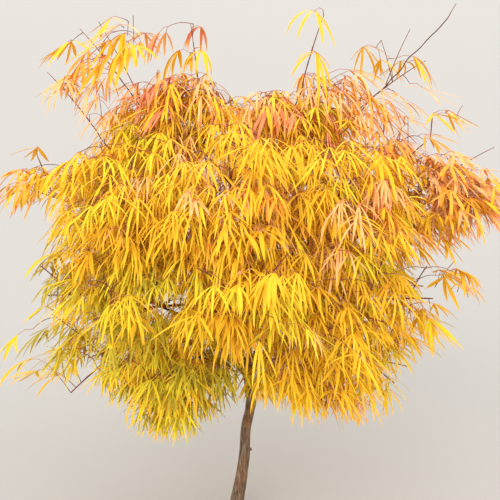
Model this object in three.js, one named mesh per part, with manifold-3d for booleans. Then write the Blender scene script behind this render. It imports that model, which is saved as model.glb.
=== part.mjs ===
// A young Japanese maple with string-like leaves in its autumn colours. One slender trunk forks knee-
// high into arching boughs. Each bough ends in its own mass of foliage, where twigs leave a stem and
// carry leaves of five hanging lobes.
//
// Millimetres, +Z up. The origin is the middle of the flat cut at ground level, +X is the tree's right
// and -Y its front.

import * as THREE from "three";
import { mergeVertices } from "three/addons/utils/BufferGeometryUtils.js";
import Module from "manifold-3d";

const wasm = await Module();
wasm.setup();

// Clearances
const GAP = 0.3; // between a limb and what carries it
const WALL_GAP = 1.5; // from any twig or leaf to the edge of its mass's own space
const LIMB_GAP = 2.5; // from any twig or leaf to a limb
const LOBE_ROOM = 3.5; // kept free round the middle line of a lobe
const LOWEST_LEAF = 330; // height over the ground that no leaf hangs below

// Trunk: its middle line as [lean to the right, height], from the ground to the fork
const TRUNK_LINE = [[0, 0], [24, 157], [29, 245], [42, 320], [38, 362], [42, 450]];
const FOOT_RADIUS = 16.5;
const FORK_RADIUS = 9.2;
const FLARE = 6; // how far the root flare adds to the radius at the ground
const FLARE_HEIGHT = 42; // height in which the flare dies away
const FLARE_LOBES = 4;
const KNOB = 1.6; // the old graft stands out by this much
const KNOB_HEIGHT = 320;
const KNOB_SPREAD = 12;
const TRUNK_SIDES = 12;
const TRUNK_RINGS = 15;

// Boughs
const BOUGH_SHARE = 0.7; // radius of a bough's root, as a share of its carrier's radius there
const BOUGH_TIP_RADIUS = 4.2;
const BOUGH_SIDES = 6;
const BOUGH_RINGS = 4;

// Stems and twigs inside a mass, all three-sided
const STEM_SHARE = 0.7; // the stem runs this share of the mass's radius to each side of its middle
const STEM_RADIUS = 6;
const STEM_TIP_RADIUS = 5;
const STEM_RINGS = 2;
const STEM_SAG = 0.12;
const TWIG_RADIUS = 2.8;
const TWIG_TIP_RADIUS = 2.6;
const SHORTEST_TWIG = 35;
const TWIG_CLEAR = 0.35; // share of a twig that may lie close to the stem and other twigs
const PLACES_TRIED = 80; // random places looked at for each twig
const PLACES_KEPT = 20; // the emptiest of them, of which the one with the most leaves is taken
const FLATNESS = 0.8; // height of a mass, as a share of its width
const STEM_NODES = 6; // where twigs may leave the stem
const NODES_BACK = 1; // a twig leaves this many nodes before the nearest one
const PAIRS_ON_TWIG = [0.93, 0.45]; // shares of its length where pairs of leaves sit
const PAIRS_ON_STEM = [0.95];

// Leaves: a hub, a stalk sunk into the twig and five narrow lobes that hang
const LOBE_LENGTH = 155;
const LOBES = [
  { turn: -114, length: 0.7, dip: 66 },
  { turn: -57, length: 0.95, dip: 56 },
  { turn: 0, length: 1, dip: 50 },
  { turn: 57, length: 0.95, dip: 56 },
  { turn: 114, length: 0.7, dip: 66 },
];
const DIP_PLAY = 7; // degrees
const LENGTH_PLAY = 0.12;
const NOTCH_RADIUS = 24; // from the hub to the notch between two lobes
const NOTCH_DIP = 38;
const THROAT_RADIUS = 8; // from the hub to the two notches beside the stalk
const THROAT_TURN = 148;
const HUB_THICKNESS = 8;
const STALK = 36; // from the twig to the hub
const STALK_RISE = 0.14; // slope of the stalks on a twig's sides
const STALK_CLEAR = 0.4; // share of a stalk that may lie close to its twig
const STALK_WIDTH = 1.8; // where it is sunk into the twig
const LEAF_TURNS = [62, 88, 42, 112]; // away from the twig's direction, tried in this order
const LEAF_SCALES = [1, 0.85, 0.72, 0.6];

// Masses of foliage, each with the bough that carries it. turn is in degrees anticlockwise from the
// tree's right, seen from above. reach and height place its middle, radius is how far its twigs spread,
// and twigs is how many it has at most. Its bough leaves the trunk or another mass's bough (from) at a
// share of that limb's length (at), and arches over the straight line to its tip by a share of it
// (arch). A row with no tint is a bare limb.
const MASSES = [
  ["top_left", 167, 125, 1020, 168, 4, "trunk", 0.98, 0.04, "amber"],
  ["left_shoulder", 180, 350, 880, 165, 5, "trunk", 0.93, 0.1, "amber"],
  ["right_shoulder", 0, 400, 870, 170, 4, "trunk", 0.955, 0.1, "salmon"],
  ["front_mid", 277, 320, 765, 160, 5, "trunk", 0.91, 0.12, "gold"],
  ["back_right_mid", 50, 310, 700, 165, 4, "trunk", 0.88, 0.12, "gold"],
  ["left_mid", 188, 310, 685, 160, 5, "trunk", 0.86, 0.12, "gold"],
  ["right_mid", 353, 340, 675, 165, 5, "trunk", 0.9, 0.12, "gold"],
  ["back_left_mid", 125, 310, 700, 165, 4, "trunk", 0.825, 0.12, "gold"],
  ["top_right", 0, 140, 1020, 165, 5, "top_left", 0.3, 0.04, "amber"],
  ["top_spray", 180, 85, 1205, 95, 1, "top_left", 0.7, 0.02, "amber"],
  ["upper_left_spray", 180, 288, 1200, 118, 2, "top_left", 0.6, 0.04, "salmon"],
  ["upper_left_outer", 177, 372, 1105, 115, 2, "left_shoulder", 0.55, 0.04, "amber"],
  ["upper_right_spray", 4, 370, 1150, 118, 2, "top_right", 0.55, 0.06, "amber"],
  ["upper_right_outer", 0, 475, 1035, 105, 1, "right_shoulder", 0.65, 0.06, "salmon"],
  ["front_left_upper", 220, 265, 930, 165, 5, "left_shoulder", 0.35, 0.08, "gold"],
  ["front_upper", 270, 230, 955, 160, 5, "top_left", 0.35, 0.06, "amber"],
  ["front_right_upper", 320, 275, 920, 165, 5, "right_shoulder", 0.35, 0.08, "amber"],
  ["back_left_upper", 135, 265, 940, 165, 4, "top_left", 0.45, 0.06, "gold"],
  ["back_right_upper", 48, 265, 945, 165, 4, "top_right", 0.45, 0.06, "gold"],
  ["front_left_mid", 234, 310, 725, 160, 4, "front_mid", 0.35, 0.1, "gold"],
  ["front_right_mid", 314, 315, 710, 160, 5, "front_mid", 0.45, 0.1, "gold"],
  ["left_low", 184, 345, 495, 145, 3, "left_mid", 0.5, 0.15, "gold"],
  ["low_left_front", 226, 235, 540, 145, 3, "left_mid", 0.3, 0.12, "lemon"],
  ["low_right_front", 314, 235, 540, 145, 3, "right_mid", 0.3, 0.12, "lemon"],
  ["right_low", 0, 335, 505, 145, 3, "right_mid", 0.45, 0.15, "gold"],
  ["back_low", 90, 250, 520, 150, 3, "back_right_mid", 0.3, 0.12, "lemon"],
  ["right_lone", 5, 510, 640, 85, 1, "right_mid", 0.7, 0.08, "gold"],
  ["top_twig", -18, 195, 1240, 70, 0, "top_right", 0.3, 0, "salmon"],
  ["bare_twig", -2, 495, 1290, 40, 0, "upper_right_spray", 0.35, 0, null],
].map(([name, turn, reach, height, radius, twigs, from, at, arch, tint]) => ({
  name,
  turn,
  reach,
  height,
  radius,
  twigs,
  from,
  at,
  arch,
  tint,
}));

// Materials
const BARK = { color: 0x6b4a35, roughness: 0.88, metalness: 0 };
const BOUGH_BARK = { color: 0x74452f, roughness: 0.82, metalness: 0 };
const TINTS = { gold: 0xf2b21c, amber: 0xf0962a, salmon: 0xee8a55, lemon: 0xe3c22c };
const FOLIAGE_ROUGHNESS = 0.62;

const UP = new THREE.Vector3(0, 0, 1);
const radians = THREE.MathUtils.degToRad;

// A repeatable stream of numbers from 0 to 1
function seeded(seed) {
  let state = seed >>> 0;
  return () => {
    state = (state + 0x6d2b79f5) >>> 0;
    let mixed = Math.imul(state ^ (state >>> 15), state | 1);
    mixed ^= mixed + Math.imul(mixed ^ (mixed >>> 7), mixed | 61);
    return ((mixed ^ (mixed >>> 14)) >>> 0) / 4294967296;
  };
}

// A closed geometry as a solid
function solidOf(geometry) {
  const bare = new THREE.BufferGeometry().setAttribute("position", geometry.getAttribute("position"));
  bare.setIndex(geometry.getIndex());
  const merged = mergeVertices(bare, 1e-4);
  const mesh = new wasm.Mesh({
    numProp: 3,
    vertProperties: new Float32Array(merged.attributes.position.array),
    triVerts: new Uint32Array(merged.index.array),
  });
  return new wasm.Manifold(mesh);
}

function geometryOf(solid) {
  const mesh = solid.getMesh();
  const geometry = new THREE.BufferGeometry();
  geometry.setAttribute("position", new THREE.BufferAttribute(mesh.vertProperties, 3));
  geometry.setIndex(new THREE.BufferAttribute(mesh.triVerts, 1));
  geometry.computeVertexNormals();
  return geometry;
}

// The largest closed surface of a solid, which drops loose scraps and fills sealed hollows
function mainBody(solid) {
  const bodies = solid.decompose();
  return bodies.reduce((best, body) => (body.volume() > best.volume() ? body : best));
}

// A closed bar with a regular section, in rings along a curve. placeOf and radiusOf take the share of
// its length.
function bentBar(placeOf, axesOf, radiusOf, sides, rings) {
  const corners = Array.from({ length: sides }, (_, i) => {
    const angle = Math.PI / 2 + (2 * Math.PI * i) / sides;
    return new THREE.Vector2(Math.cos(angle), Math.sin(angle));
  });
  const straight = { depth: 1, steps: rings, bevelEnabled: false };
  const geometry = new THREE.ExtrudeGeometry(new THREE.Shape(corners), straight);
  const position = geometry.getAttribute("position");
  const vertex = new THREE.Vector3();
  for (let i = 0; i < position.count; i += 1) {
    vertex.fromBufferAttribute(position, i);
    const share = vertex.z;
    const radius = radiusOf(share, Math.atan2(vertex.y, vertex.x));
    const [across, along] = axesOf(Math.round(share * rings));
    const spot = placeOf(share)
      .addScaledVector(across, vertex.x * radius)
      .addScaledVector(along, vertex.y * radius);
    position.setXYZ(i, spot.x, spot.y, spot.z);
  }
  return solidOf(geometry);
}

// A tapering limb or twig along a curve that bends in an upright plane, with one of its edges on top
function taperedLimb(curve, rootRadius, tipRadius, sides, rings) {
  const level = UP.clone().cross(curve.getPoint(1).sub(curve.getPoint(0))).normalize();
  const axesOf = (ring) => [level, curve.getTangentAt(ring / rings).cross(level)];
  const radiusOf = (share) => THREE.MathUtils.lerp(rootRadius, tipRadius, share);
  return bentBar((share) => curve.getPointAt(share), axesOf, radiusOf, sides, rings);
}

// Trunk

const trunkCurve = new THREE.CatmullRomCurve3(
  TRUNK_LINE.map(([lean, height]) => new THREE.Vector3(lean, 0, height)),
  false,
  "catmullrom",
  0.5,
);

function trunkRadius(height, angle) {
  const taper = THREE.MathUtils.mapLinear(height, 0, TRUNK_LINE.at(-1)[1], FOOT_RADIUS, FORK_RADIUS);
  const lobes = 0.6 + 0.4 * Math.cos(FLARE_LOBES * angle);
  const flare = FLARE * lobes * Math.exp(-height / FLARE_HEIGHT);
  const knob = KNOB * Math.exp(-(((height - KNOB_HEIGHT) / KNOB_SPREAD) ** 2));
  return taper + flare + knob;
}

// The trunk's rings are level, so that its cut at the ground is too. spare thickens it on all sides but
// the foot.
function trunkSolid(spare) {
  const level = [new THREE.Vector3(1, 0, 0), new THREE.Vector3(0, 1, 0)];
  const placeOf = (share) => trunkCurve.getPoint(share).addScaledVector(UP, share === 1 ? spare : 0);
  const radiusOf = (share, angle) => trunkRadius(trunkCurve.getPoint(share).z, angle) + spare;
  return bentBar(placeOf, () => level, radiusOf, TRUNK_SIDES, TRUNK_RINGS);
}

// Boughs

function middleOf(mass) {
  const turn = radians(mass.turn);
  return new THREE.Vector3(mass.reach * Math.cos(turn), mass.reach * Math.sin(turn), mass.height);
}

// The bough of a mass: it leaves its carrier, arches by the mass's rise and points on into the stem at
// its tip
function boughOf(mass, carrier) {
  const start = carrier.pointAt(mass.at);
  const middle = middleOf(mass);
  const chord = middle.clone().sub(start).normalize();
  const tip = middle.clone().addScaledVector(chord, -STEM_SHARE * mass.radius);
  const length = tip.distanceTo(start);
  const steepness = 4 * mass.arch;
  const departure = chord.clone().addScaledVector(UP, steepness).normalize();
  const heading = chord.clone().addScaledVector(UP, -steepness).normalize();
  const curve = new THREE.CubicBezierCurve3(
    start,
    start.clone().addScaledVector(departure, length / 3),
    tip.clone().addScaledVector(heading, -length / 3),
    tip,
  );
  const rootRadius = Math.max(BOUGH_SHARE * carrier.radiusAt(mass.at), BOUGH_TIP_RADIUS);
  return {
    name: `${mass.name}_bough`,
    curve,
    rootRadius,
    heading,
    pointAt: (share) => curve.getPoint(share),
    radiusAt: (share) => THREE.MathUtils.lerp(rootRadius, BOUGH_TIP_RADIUS, share),
  };
}

function boughSolid(bough, spare) {
  const [root, tip] = [bough.rootRadius + spare, BOUGH_TIP_RADIUS + spare];
  return taperedLimb(bough.curve, root, tip, BOUGH_SIDES, BOUGH_RINGS);
}

// Straight stretches with a thickness, along a limb
function bonesOf(limb, rings) {
  return Array.from({ length: rings }, (_, i) => ({
    from: limb.pointAt(i / rings),
    to: limb.pointAt((i + 1) / rings),
    radius: limb.radiusAt(i / rings),
  }));
}

// The least distance between two straight stretches
function distanceBetween(fromA, toA, fromB, toB) {
  const a = toA.clone().sub(fromA);
  const b = toB.clone().sub(fromB);
  const apart = fromA.clone().sub(fromB);
  const [aa, ab, bb, ac, bc] = [a.dot(a), a.dot(b), b.dot(b), a.dot(apart), b.dot(apart)];
  const clamp = (value) => THREE.MathUtils.clamp(value, 0, 1);
  const spread = aa * bb - ab * ab;
  let shareA = spread > 1e-9 ? clamp((ab * bc - bb * ac) / spread) : 0;
  const shareB = clamp((ab * shareA + bc) / bb);
  shareA = clamp((ab * shareB - ac) / aa);
  return apart.addScaledVector(a, shareA).addScaledVector(b, -shareB).length();
}

// Spaces

// The flat walls between a mass's space and its neighbours': a point belongs to the mass that it lies
// deepest in
function wallsOf(mass) {
  const middle = middleOf(mass);
  return MASSES.filter((other) => other !== mass).map((other) => {
    const across = middleOf(other).sub(middle);
    const distance = across.length();
    const share = (distance ** 2 + mass.radius ** 2 - other.radius ** 2) / (2 * distance);
    const normal = across.normalize();
    const spot = middle.clone().addScaledVector(normal, share);
    return new THREE.Plane().setFromNormalAndCoplanarPoint(normal, spot);
  });
}

class Space {
  constructor(mass, bones) {
    this.walls = wallsOf(mass);
    this.bones = bones;
    this.taken = [];
  }

  holds(point) {
    return point.z > LOWEST_LEAF && this.walls.every((wall) => wall.distanceToPoint(point) < -WALL_GAP);
  }

  // Whether a straight stretch stays clear of every limb by radius, and by room of the twigs and lobes
  // already there
  isFree(from, to, radius, room) {
    const apart = (other, needed) => distanceBetween(from, to, other.from, other.to) > needed;
    return (
      this.bones.every((bone) => apart(bone, bone.radius + radius + LIMB_GAP)) &&
      this.taken.every((other) => apart(other, other.room + room))
    );
  }

  take(from, to, room) {
    this.taken.push({ from, to, room });
  }

  takesTwig(twig) {
    const away = twig.curve.getPoint(TWIG_CLEAR);
    return this.isFree(away, twig.end, TWIG_RADIUS, TWIG_RADIUS) && this.holds(away) && this.holds(twig.end);
  }

  takeTwig(twig) {
    this.take(twig.start, twig.end, TWIG_RADIUS);
  }

  takesLeaf(leaf) {
    const free =
      this.isFree(leaf.stalk, leaf.hub, STALK_WIDTH, STALK_WIDTH) &&
      leaf.tips.every((tip) => this.isFree(leaf.hub, tip, NOTCH_RADIUS / 2, LOBE_ROOM));
    return free && [leaf.hub, ...leaf.rim].every((point) => this.holds(point));
  }

  takeLeaf(leaf) {
    this.take(leaf.stalk, leaf.hub, STALK_WIDTH);
    leaf.tips.forEach((tip) => this.take(leaf.hub, tip, LOBE_ROOM));
  }
}

// Leaves

// A level direction turned about the vertical, then dipped below it
function dipped(outward, turn, dip) {
  const level = outward.clone().applyAxisAngle(UP, radians(turn));
  return level.multiplyScalar(Math.cos(radians(dip))).addScaledVector(UP, -Math.sin(radians(dip)));
}

// The points of a leaf whose stalk is sunk at root and runs along aim. play holds a seeded number for
// each lobe.
function leafShape(root, aim, scale, play) {
  const outward = aim.clone().setZ(0).normalize();
  const hub = root.clone().addScaledVector(aim, STALK * scale);
  const stalk = root.clone().lerp(hub, STALK_CLEAR);
  const tips = LOBES.map(({ turn, length, dip }, i) => {
    const reach = LOBE_LENGTH * scale * length * (1 + LENGTH_PLAY * play[i]);
    const droop = dip + DIP_PLAY * play[LOBES.length - 1 - i];
    return hub.clone().addScaledVector(dipped(outward, turn, droop), reach);
  });
  const notches = LOBES.slice(1).map(({ turn }, i) => {
    const between = (turn + LOBES[i].turn) / 2;
    return hub.clone().addScaledVector(dipped(outward, between, NOTCH_DIP), NOTCH_RADIUS * scale);
  });
  const throats = [-THROAT_TURN, THROAT_TURN].map((turn) =>
    hub.clone().addScaledVector(dipped(outward, turn, NOTCH_DIP), THROAT_RADIUS * scale),
  );
  const side = outward.clone().cross(UP).multiplyScalar(STALK_WIDTH / 2);
  const rim = [root.clone().add(side), throats[0]];
  tips.forEach((tip, i) => rim.push(tip, i < notches.length ? notches[i] : throats[1]));
  rim.push(root.clone().sub(side));
  const half = (HUB_THICKNESS * scale) / 2;
  const [top, bottom] = [half, -half].map((height) => hub.clone().addScaledVector(UP, height));
  const flank = new THREE.Plane().setFromCoplanarPoints(rim[0], throats[0], top);
  const ridge = root.clone().addScaledVector(UP, -flank.distanceToPoint(root) / flank.normal.z);
  return { stalk, hub, tips, rim, top, bottom, ridge };
}

// A leaf is a star: its rim is shared by a fan from above the hub and one from below it. The stalk is
// three-sided with flat sides and a ridge on top, and its end is sunk into the twig.
function leafSolid({ rim, top, bottom, ridge }) {
  const points = [top, bottom, ridge, ...rim];
  const [TOP, BOTTOM, RIDGE, FIRST] = [0, 1, 2, 3];
  const LAST = points.length - 1;
  const faces = [TOP, LAST, RIDGE, TOP, RIDGE, FIRST, RIDGE, LAST, FIRST];
  for (let i = FIRST; i < LAST; i += 1) {
    faces.push(TOP, i, i + 1);
  }
  for (let i = FIRST + 1; i < LAST - 1; i += 1) {
    faces.push(BOTTOM, i + 1, i);
  }
  faces.push(BOTTOM, FIRST + 1, LAST - 1, FIRST, LAST, LAST - 1, FIRST, LAST - 1, FIRST + 1);
  const geometry = new THREE.BufferGeometry().setFromPoints(points);
  geometry.setIndex(faces);
  return solidOf(geometry);
}

// Foliage

// The stem of a mass starts a gap beyond its bough's tip and runs on through the mass's middle
function stemCurve(mass, bough) {
  const start = bough.pointAt(1).addScaledVector(bough.heading, GAP);
  const length = 2 * STEM_SHARE * mass.radius;
  const end = start.clone().addScaledVector(bough.heading, length).addScaledVector(UP, -STEM_SAG * length);
  const bend = start.clone().addScaledVector(bough.heading, length / 2);
  return new THREE.QuadraticBezierCurve3(start, bend, end);
}

// Random places round the mass's middle, those furthest from the hubs of other leaves first
function emptyPlaces(mass, space, hubs, random) {
  const middle = middleOf(mass);
  const places = [];
  for (let i = 0; i < PLACES_TRIED; i += 1) {
    const place = new THREE.Vector3(random(), random(), random()).multiplyScalar(2).subScalar(1);
    const inBall = place.lengthSq() < 1;
    place.multiply(new THREE.Vector3(1, 1, FLATNESS)).multiplyScalar(mass.radius).add(middle);
    if (inBall && space.holds(place)) {
      places.push({ place, room: Math.min(mass.radius, ...hubs.map((hub) => hub.distanceTo(place))) });
    }
  }
  places.sort((a, b) => b.room - a.room);
  return places.slice(0, PLACES_KEPT).map(({ place }) => place);
}

// A point on the middle line of a solid limb, which is straight between its rings
function middleAt({ curve, rings }, share) {
  const ring = Math.min(Math.floor(share * rings), rings - 1);
  return curve.getPointAt(ring / rings).lerp(curve.getPointAt((ring + 1) / rings), share * rings - ring);
}

// A straight twig to a place: it leaves the stem a little before the nearest point
function twigTo(place, stem) {
  const nodes = Array.from({ length: STEM_NODES }, (_, i) => middleAt(stem, (i + 0.5) / STEM_NODES));
  const distances = nodes.map((node) => node.distanceTo(place));
  const nearest = distances.indexOf(Math.min(...distances));
  const start = nodes[Math.max(nearest - NODES_BACK, 0)];
  return { start, end: place, curve: new THREE.LineCurve3(start, place), rings: 1 };
}

// The first leaf that fits on one side of a stem or twig, or none. side is 1 for its left and -1 for
// its right.
function leafBeside(space, limb, share, side, random) {
  const play = LOBES.map(() => 2 * random() - 1);
  const ahead = limb.curve.getTangentAt(share).setZ(0).normalize();
  const root = middleAt(limb, share);
  for (const scale of LEAF_SCALES) {
    for (const turn of LEAF_TURNS) {
      const aim = ahead.clone().applyAxisAngle(UP, radians(side * turn)).addScaledVector(UP, STALK_RISE);
      const leaf = leafShape(root, aim.normalize(), scale, play);
      if (space.takesLeaf(leaf)) {
        return leaf;
      }
    }
  }
  return null;
}

// As many leaves as fit in pairs along a stem or twig
function leavesOn(space, limb, shares, random) {
  const leaves = [];
  for (const share of shares) {
    for (const side of [1, -1]) {
      const leaf = leafBeside(space, limb, share, side, random);
      if (leaf) {
        space.takeLeaf(leaf);
        leaves.push(leaf);
      }
    }
  }
  return leaves;
}

// The twig with the most leaves among those to the emptiest places
function leafiestTwig(mass, space, stem, hubs, random) {
  const best = { twig: null, leaves: [] };
  for (const place of emptyPlaces(mass, space, hubs, random)) {
    const twig = twigTo(place, stem);
    if (twig.curve.getLength() > SHORTEST_TWIG && space.takesTwig(twig)) {
      const kept = space.taken.length;
      space.takeTwig(twig);
      const leaves = leavesOn(space, twig, PAIRS_ON_TWIG, random);
      space.taken.length = kept;
      if (leaves.length > best.leaves.length) {
        Object.assign(best, { twig, leaves });
      }
    }
  }
  return best;
}

function massSolid(mass, bough, bones, hubs, seed) {
  const random = seeded(seed);
  const space = new Space(mass, bones);
  const stem = { curve: stemCurve(mass, bough), rings: STEM_RINGS };
  const pieces = [taperedLimb(stem.curve, STEM_RADIUS, STEM_TIP_RADIUS, 3, STEM_RINGS)];
  const keep = (leaves) => {
    leaves.forEach((leaf) => space.takeLeaf(leaf));
    hubs.push(...leaves.map((leaf) => leaf.hub));
    pieces.push(...leaves.map(leafSolid));
  };
  stem.curve.getPoints(4).forEach((point, i, all) => i > 0 && space.take(all[i - 1], point, STEM_RADIUS));
  keep(leavesOn(space, stem, PAIRS_ON_STEM, random));
  for (let i = 0; i < mass.twigs; i += 1) {
    const { twig, leaves } = leafiestTwig(mass, space, stem, hubs, random);
    if (twig) {
      space.takeTwig(twig);
      pieces.push(taperedLimb(twig.curve, TWIG_RADIUS, TWIG_TIP_RADIUS, 3, twig.rings));
      keep(leaves);
    }
  }
  return mainBody(pieces.reduce((joined, piece) => joined.add(piece)));
}

function meshOf(name, solid, look) {
  const material = new THREE.MeshStandardMaterial({ ...look, flatShading: true });
  const mesh = new THREE.Mesh(geometryOf(solid), material);
  mesh.name = name;
  return mesh;
}

const trunk = {
  name: "trunk",
  pointAt: (share) => trunkCurve.getPoint(share),
  radiusAt: (share) => trunkRadius(trunkCurve.getPoint(share).z, 0),
};

const FIRST_SEED = 101;
const tree = new THREE.Group();
tree.add(meshOf("trunk", trunkSolid(0), BARK));

const limbs = new Map([["trunk", trunk]]);
const fattened = [trunkSolid(GAP)];
for (const mass of MASSES) {
  const bough = boughOf(mass, limbs.get(mass.from));
  limbs.set(mass.name, bough);
  const cut = mainBody(fattened.reduce((solid, other) => solid.subtract(other), boughSolid(bough, 0)));
  fattened.push(boughSolid(bough, GAP));
  tree.add(meshOf(bough.name, cut, BOUGH_BARK));
}

const bones = [...limbs.values()].flatMap((limb) => bonesOf(limb, BOUGH_RINGS));
const hubs = [];
MASSES.filter((mass) => mass.tint).forEach((mass, i) => {
  const solid = massSolid(mass, limbs.get(mass.name), bones, hubs, FIRST_SEED + i);
  tree.add(meshOf(mass.name, solid, { color: TINTS[mass.tint], roughness: FOLIAGE_ROUGHNESS, metalness: 0 }));
});

export default tree;
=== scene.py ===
"""A young Japanese maple in autumn colours, dressed leaf by leaf round its packed limbs.

The growth rule and its named sizes are those of the solids, in millimetres. Where the solids have one large
leaf, a side shoot grows here with leaves of the real size. All meshes are made in metres.
"""

import logging
import math
from dataclasses import dataclass, field
from enum import Enum

import bpy
import numpy as np
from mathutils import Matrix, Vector, noise

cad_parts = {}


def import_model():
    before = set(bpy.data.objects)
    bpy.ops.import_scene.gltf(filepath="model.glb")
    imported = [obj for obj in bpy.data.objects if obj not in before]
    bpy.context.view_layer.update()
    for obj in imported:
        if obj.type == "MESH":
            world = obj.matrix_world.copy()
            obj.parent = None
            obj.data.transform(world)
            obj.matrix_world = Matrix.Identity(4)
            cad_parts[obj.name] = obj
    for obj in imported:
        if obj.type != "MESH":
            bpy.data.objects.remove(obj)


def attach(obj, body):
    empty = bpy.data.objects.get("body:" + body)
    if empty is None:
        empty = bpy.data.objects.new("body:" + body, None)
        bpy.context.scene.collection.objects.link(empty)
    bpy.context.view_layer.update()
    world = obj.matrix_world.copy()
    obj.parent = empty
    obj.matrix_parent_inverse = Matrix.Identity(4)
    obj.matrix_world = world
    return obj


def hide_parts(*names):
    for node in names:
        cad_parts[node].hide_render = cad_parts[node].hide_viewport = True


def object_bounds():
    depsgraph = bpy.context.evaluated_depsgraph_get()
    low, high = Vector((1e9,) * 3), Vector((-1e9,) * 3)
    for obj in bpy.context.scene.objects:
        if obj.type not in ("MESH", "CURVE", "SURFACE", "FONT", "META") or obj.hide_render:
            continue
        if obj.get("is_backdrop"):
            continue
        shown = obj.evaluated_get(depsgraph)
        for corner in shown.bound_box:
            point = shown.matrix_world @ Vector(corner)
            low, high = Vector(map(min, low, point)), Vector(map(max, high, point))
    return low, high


log = logging.getLogger("maple")

MM = 0.001
UP = np.array([0.0, 0.0, 1.0])
PARALLEL = 1e-9
NOT_NOTHING = 1e-6
FAR_AWAY = 1e9
Array = np.ndarray
Pair = tuple[float, float]
Triple = tuple[float, float, float]
Random = np.random.Generator
Material = bpy.types.Material
Socket = bpy.types.NodeSocket


# The growth rule of the solids


class Seeded:
    """A repeatable stream of numbers from 0 to 1."""

    WORD = 1 << 32
    STEP = 0x6D2B79F5

    def __init__(self, seed: int) -> None:
        """Starts the stream from any whole number."""
        self.state = seed % self.WORD

    def __call__(self) -> float:
        """The next number, from 0 to 1.

        Returns:
            The number.
        """
        self.state = (self.state + self.STEP) % self.WORD
        mixed = ((self.state ^ (self.state >> 15)) * (self.state | 1)) % self.WORD
        mixed ^= (mixed + ((mixed ^ (mixed >> 7)) * (mixed | 61))) % self.WORD
        return (mixed ^ (mixed >> 14)) / self.WORD


@dataclass
class Curve:
    """A Bezier curve through its first and last control point."""

    controls: Array

    LENGTH_STEPS = 200
    NUDGE = 1e-4

    def point(self, share: float) -> Array:
        """The point at a share of the parameter.

        Args:
            share: from 0 at the start to 1 at the end.

        Returns:
            The point.
        """
        points = self.controls
        while len(points) > 1:
            points = points[:-1] + (points[1:] - points[:-1]) * share
        return points[0]

    def sampled(self, count: int) -> Array:
        """Points at so many even steps of the parameter, the ends included."""
        return np.array([self.point(i / count) for i in range(count + 1)])

    def parameter(self, share: float) -> float:
        """The parameter at a share of the curve's length.

        Args:
            share: from 0 at the start to 1 at the end.

        Returns:
            The parameter.
        """
        if not hasattr(self, "_lengths"):
            steps = np.linalg.norm(np.diff(self.sampled(self.LENGTH_STEPS), axis=0), axis=1)
            self._lengths = np.concatenate([[0.0], np.cumsum(steps)])
        shares = np.linspace(0, 1, self.LENGTH_STEPS + 1)
        return float(np.interp(share * self._lengths[-1], self._lengths, shares))

    def at(self, share: float) -> Array:
        """The point at a share of the curve's length."""
        return self.point(self.parameter(share))

    def direction(self, share: float) -> Array:
        """The unit direction at a share of the curve's length.

        Args:
            share: from 0 at the start to 1 at the end.

        Returns:
            The direction.
        """
        middle = self.parameter(share)
        step = self.point(min(middle + self.NUDGE, 1.0)) - self.point(max(middle - self.NUDGE, 0.0))
        return step / np.linalg.norm(step)


@dataclass
class TrunkLine(Curve):
    """The trunk's middle line: a uniform Catmull-Rom curve through its control points."""

    def point(self, share: float) -> Array:
        """The point at a share of the parameter.

        Args:
            share: from 0 at the start to 1 at the end.

        Returns:
            The point.
        """
        knots = self.controls
        place = (len(knots) - 1) * share
        first = min(int(place), len(knots) - 2)
        weight = place - first
        start, end = knots[first], knots[first + 1]
        before = knots[first - 1] if first > 0 else 2 * knots[0] - knots[1]
        after = knots[first + 2] if first + 2 < len(knots) else 2 * knots[-1] - knots[-2]
        leave, arrive = 0.5 * (end - before), 0.5 * (after - start)
        cubic = 2 * start - 2 * end + leave + arrive
        square = -3 * start + 3 * end - 2 * leave - arrive
        return ((cubic * weight + square) * weight + leave) * weight + start


@dataclass(frozen=True)
class Rule:
    """The named sizes of the solids' growth rule, in millimetres and degrees."""

    wall_gap: float = 1.5
    limb_gap: float = 2.5
    lobe_room: float = 3.5
    lowest_leaf: float = 330
    bough_share: float = 0.7
    bough_tip: float = 4.2
    bough_rings: int = 4
    stem_share: float = 0.7
    stem_radius: float = 6
    stem_rings: int = 2
    stem_sag: float = 0.12
    twig_radius: float = 2.8
    shortest_twig: float = 35
    twig_clear: float = 0.35
    places_tried: int = 80
    places_kept: int = 20
    flatness: float = 0.8
    stem_nodes: int = 6
    nodes_back: int = 1
    pairs_on_twig: tuple[float, ...] = (0.93, 0.45)
    pairs_on_stem: tuple[float, ...] = (0.95,)
    lobe_length: float = 155
    lobe_turns: tuple[float, ...] = (-114, -57, 0, 57, 114)
    lobe_lengths: tuple[float, ...] = (0.7, 0.95, 1, 0.95, 0.7)
    lobe_dips: tuple[float, ...] = (66, 56, 50, 56, 66)
    dip_play: float = 7
    length_play: float = 0.12
    notch_radius: float = 24
    notch_dip: float = 38
    throat_radius: float = 8
    throat_turn: float = 148
    stalk: float = 36
    stalk_rise: float = 0.14
    stalk_clear: float = 0.4
    stalk_width: float = 1.8
    leaf_turns: tuple[float, ...] = (62, 88, 42, 112)
    leaf_scales: tuple[float, ...] = (1, 0.85, 0.72, 0.6)
    first_seed: int = 101
    gap: float = 0.3


RULE = Rule()


@dataclass(frozen=True)
class MassPlan:
    """One mass of foliage and the bough that carries it, as in the solids' table."""

    name: str
    turn: float
    reach: float
    height: float
    radius: float
    twigs: int
    carrier: str
    share: float
    arch: float
    tint: str | None

    @property
    def middle(self) -> Array:
        """The middle of the mass's space."""
        turn = math.radians(self.turn)
        return np.array([self.reach * math.cos(turn), self.reach * math.sin(turn), self.height])


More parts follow.
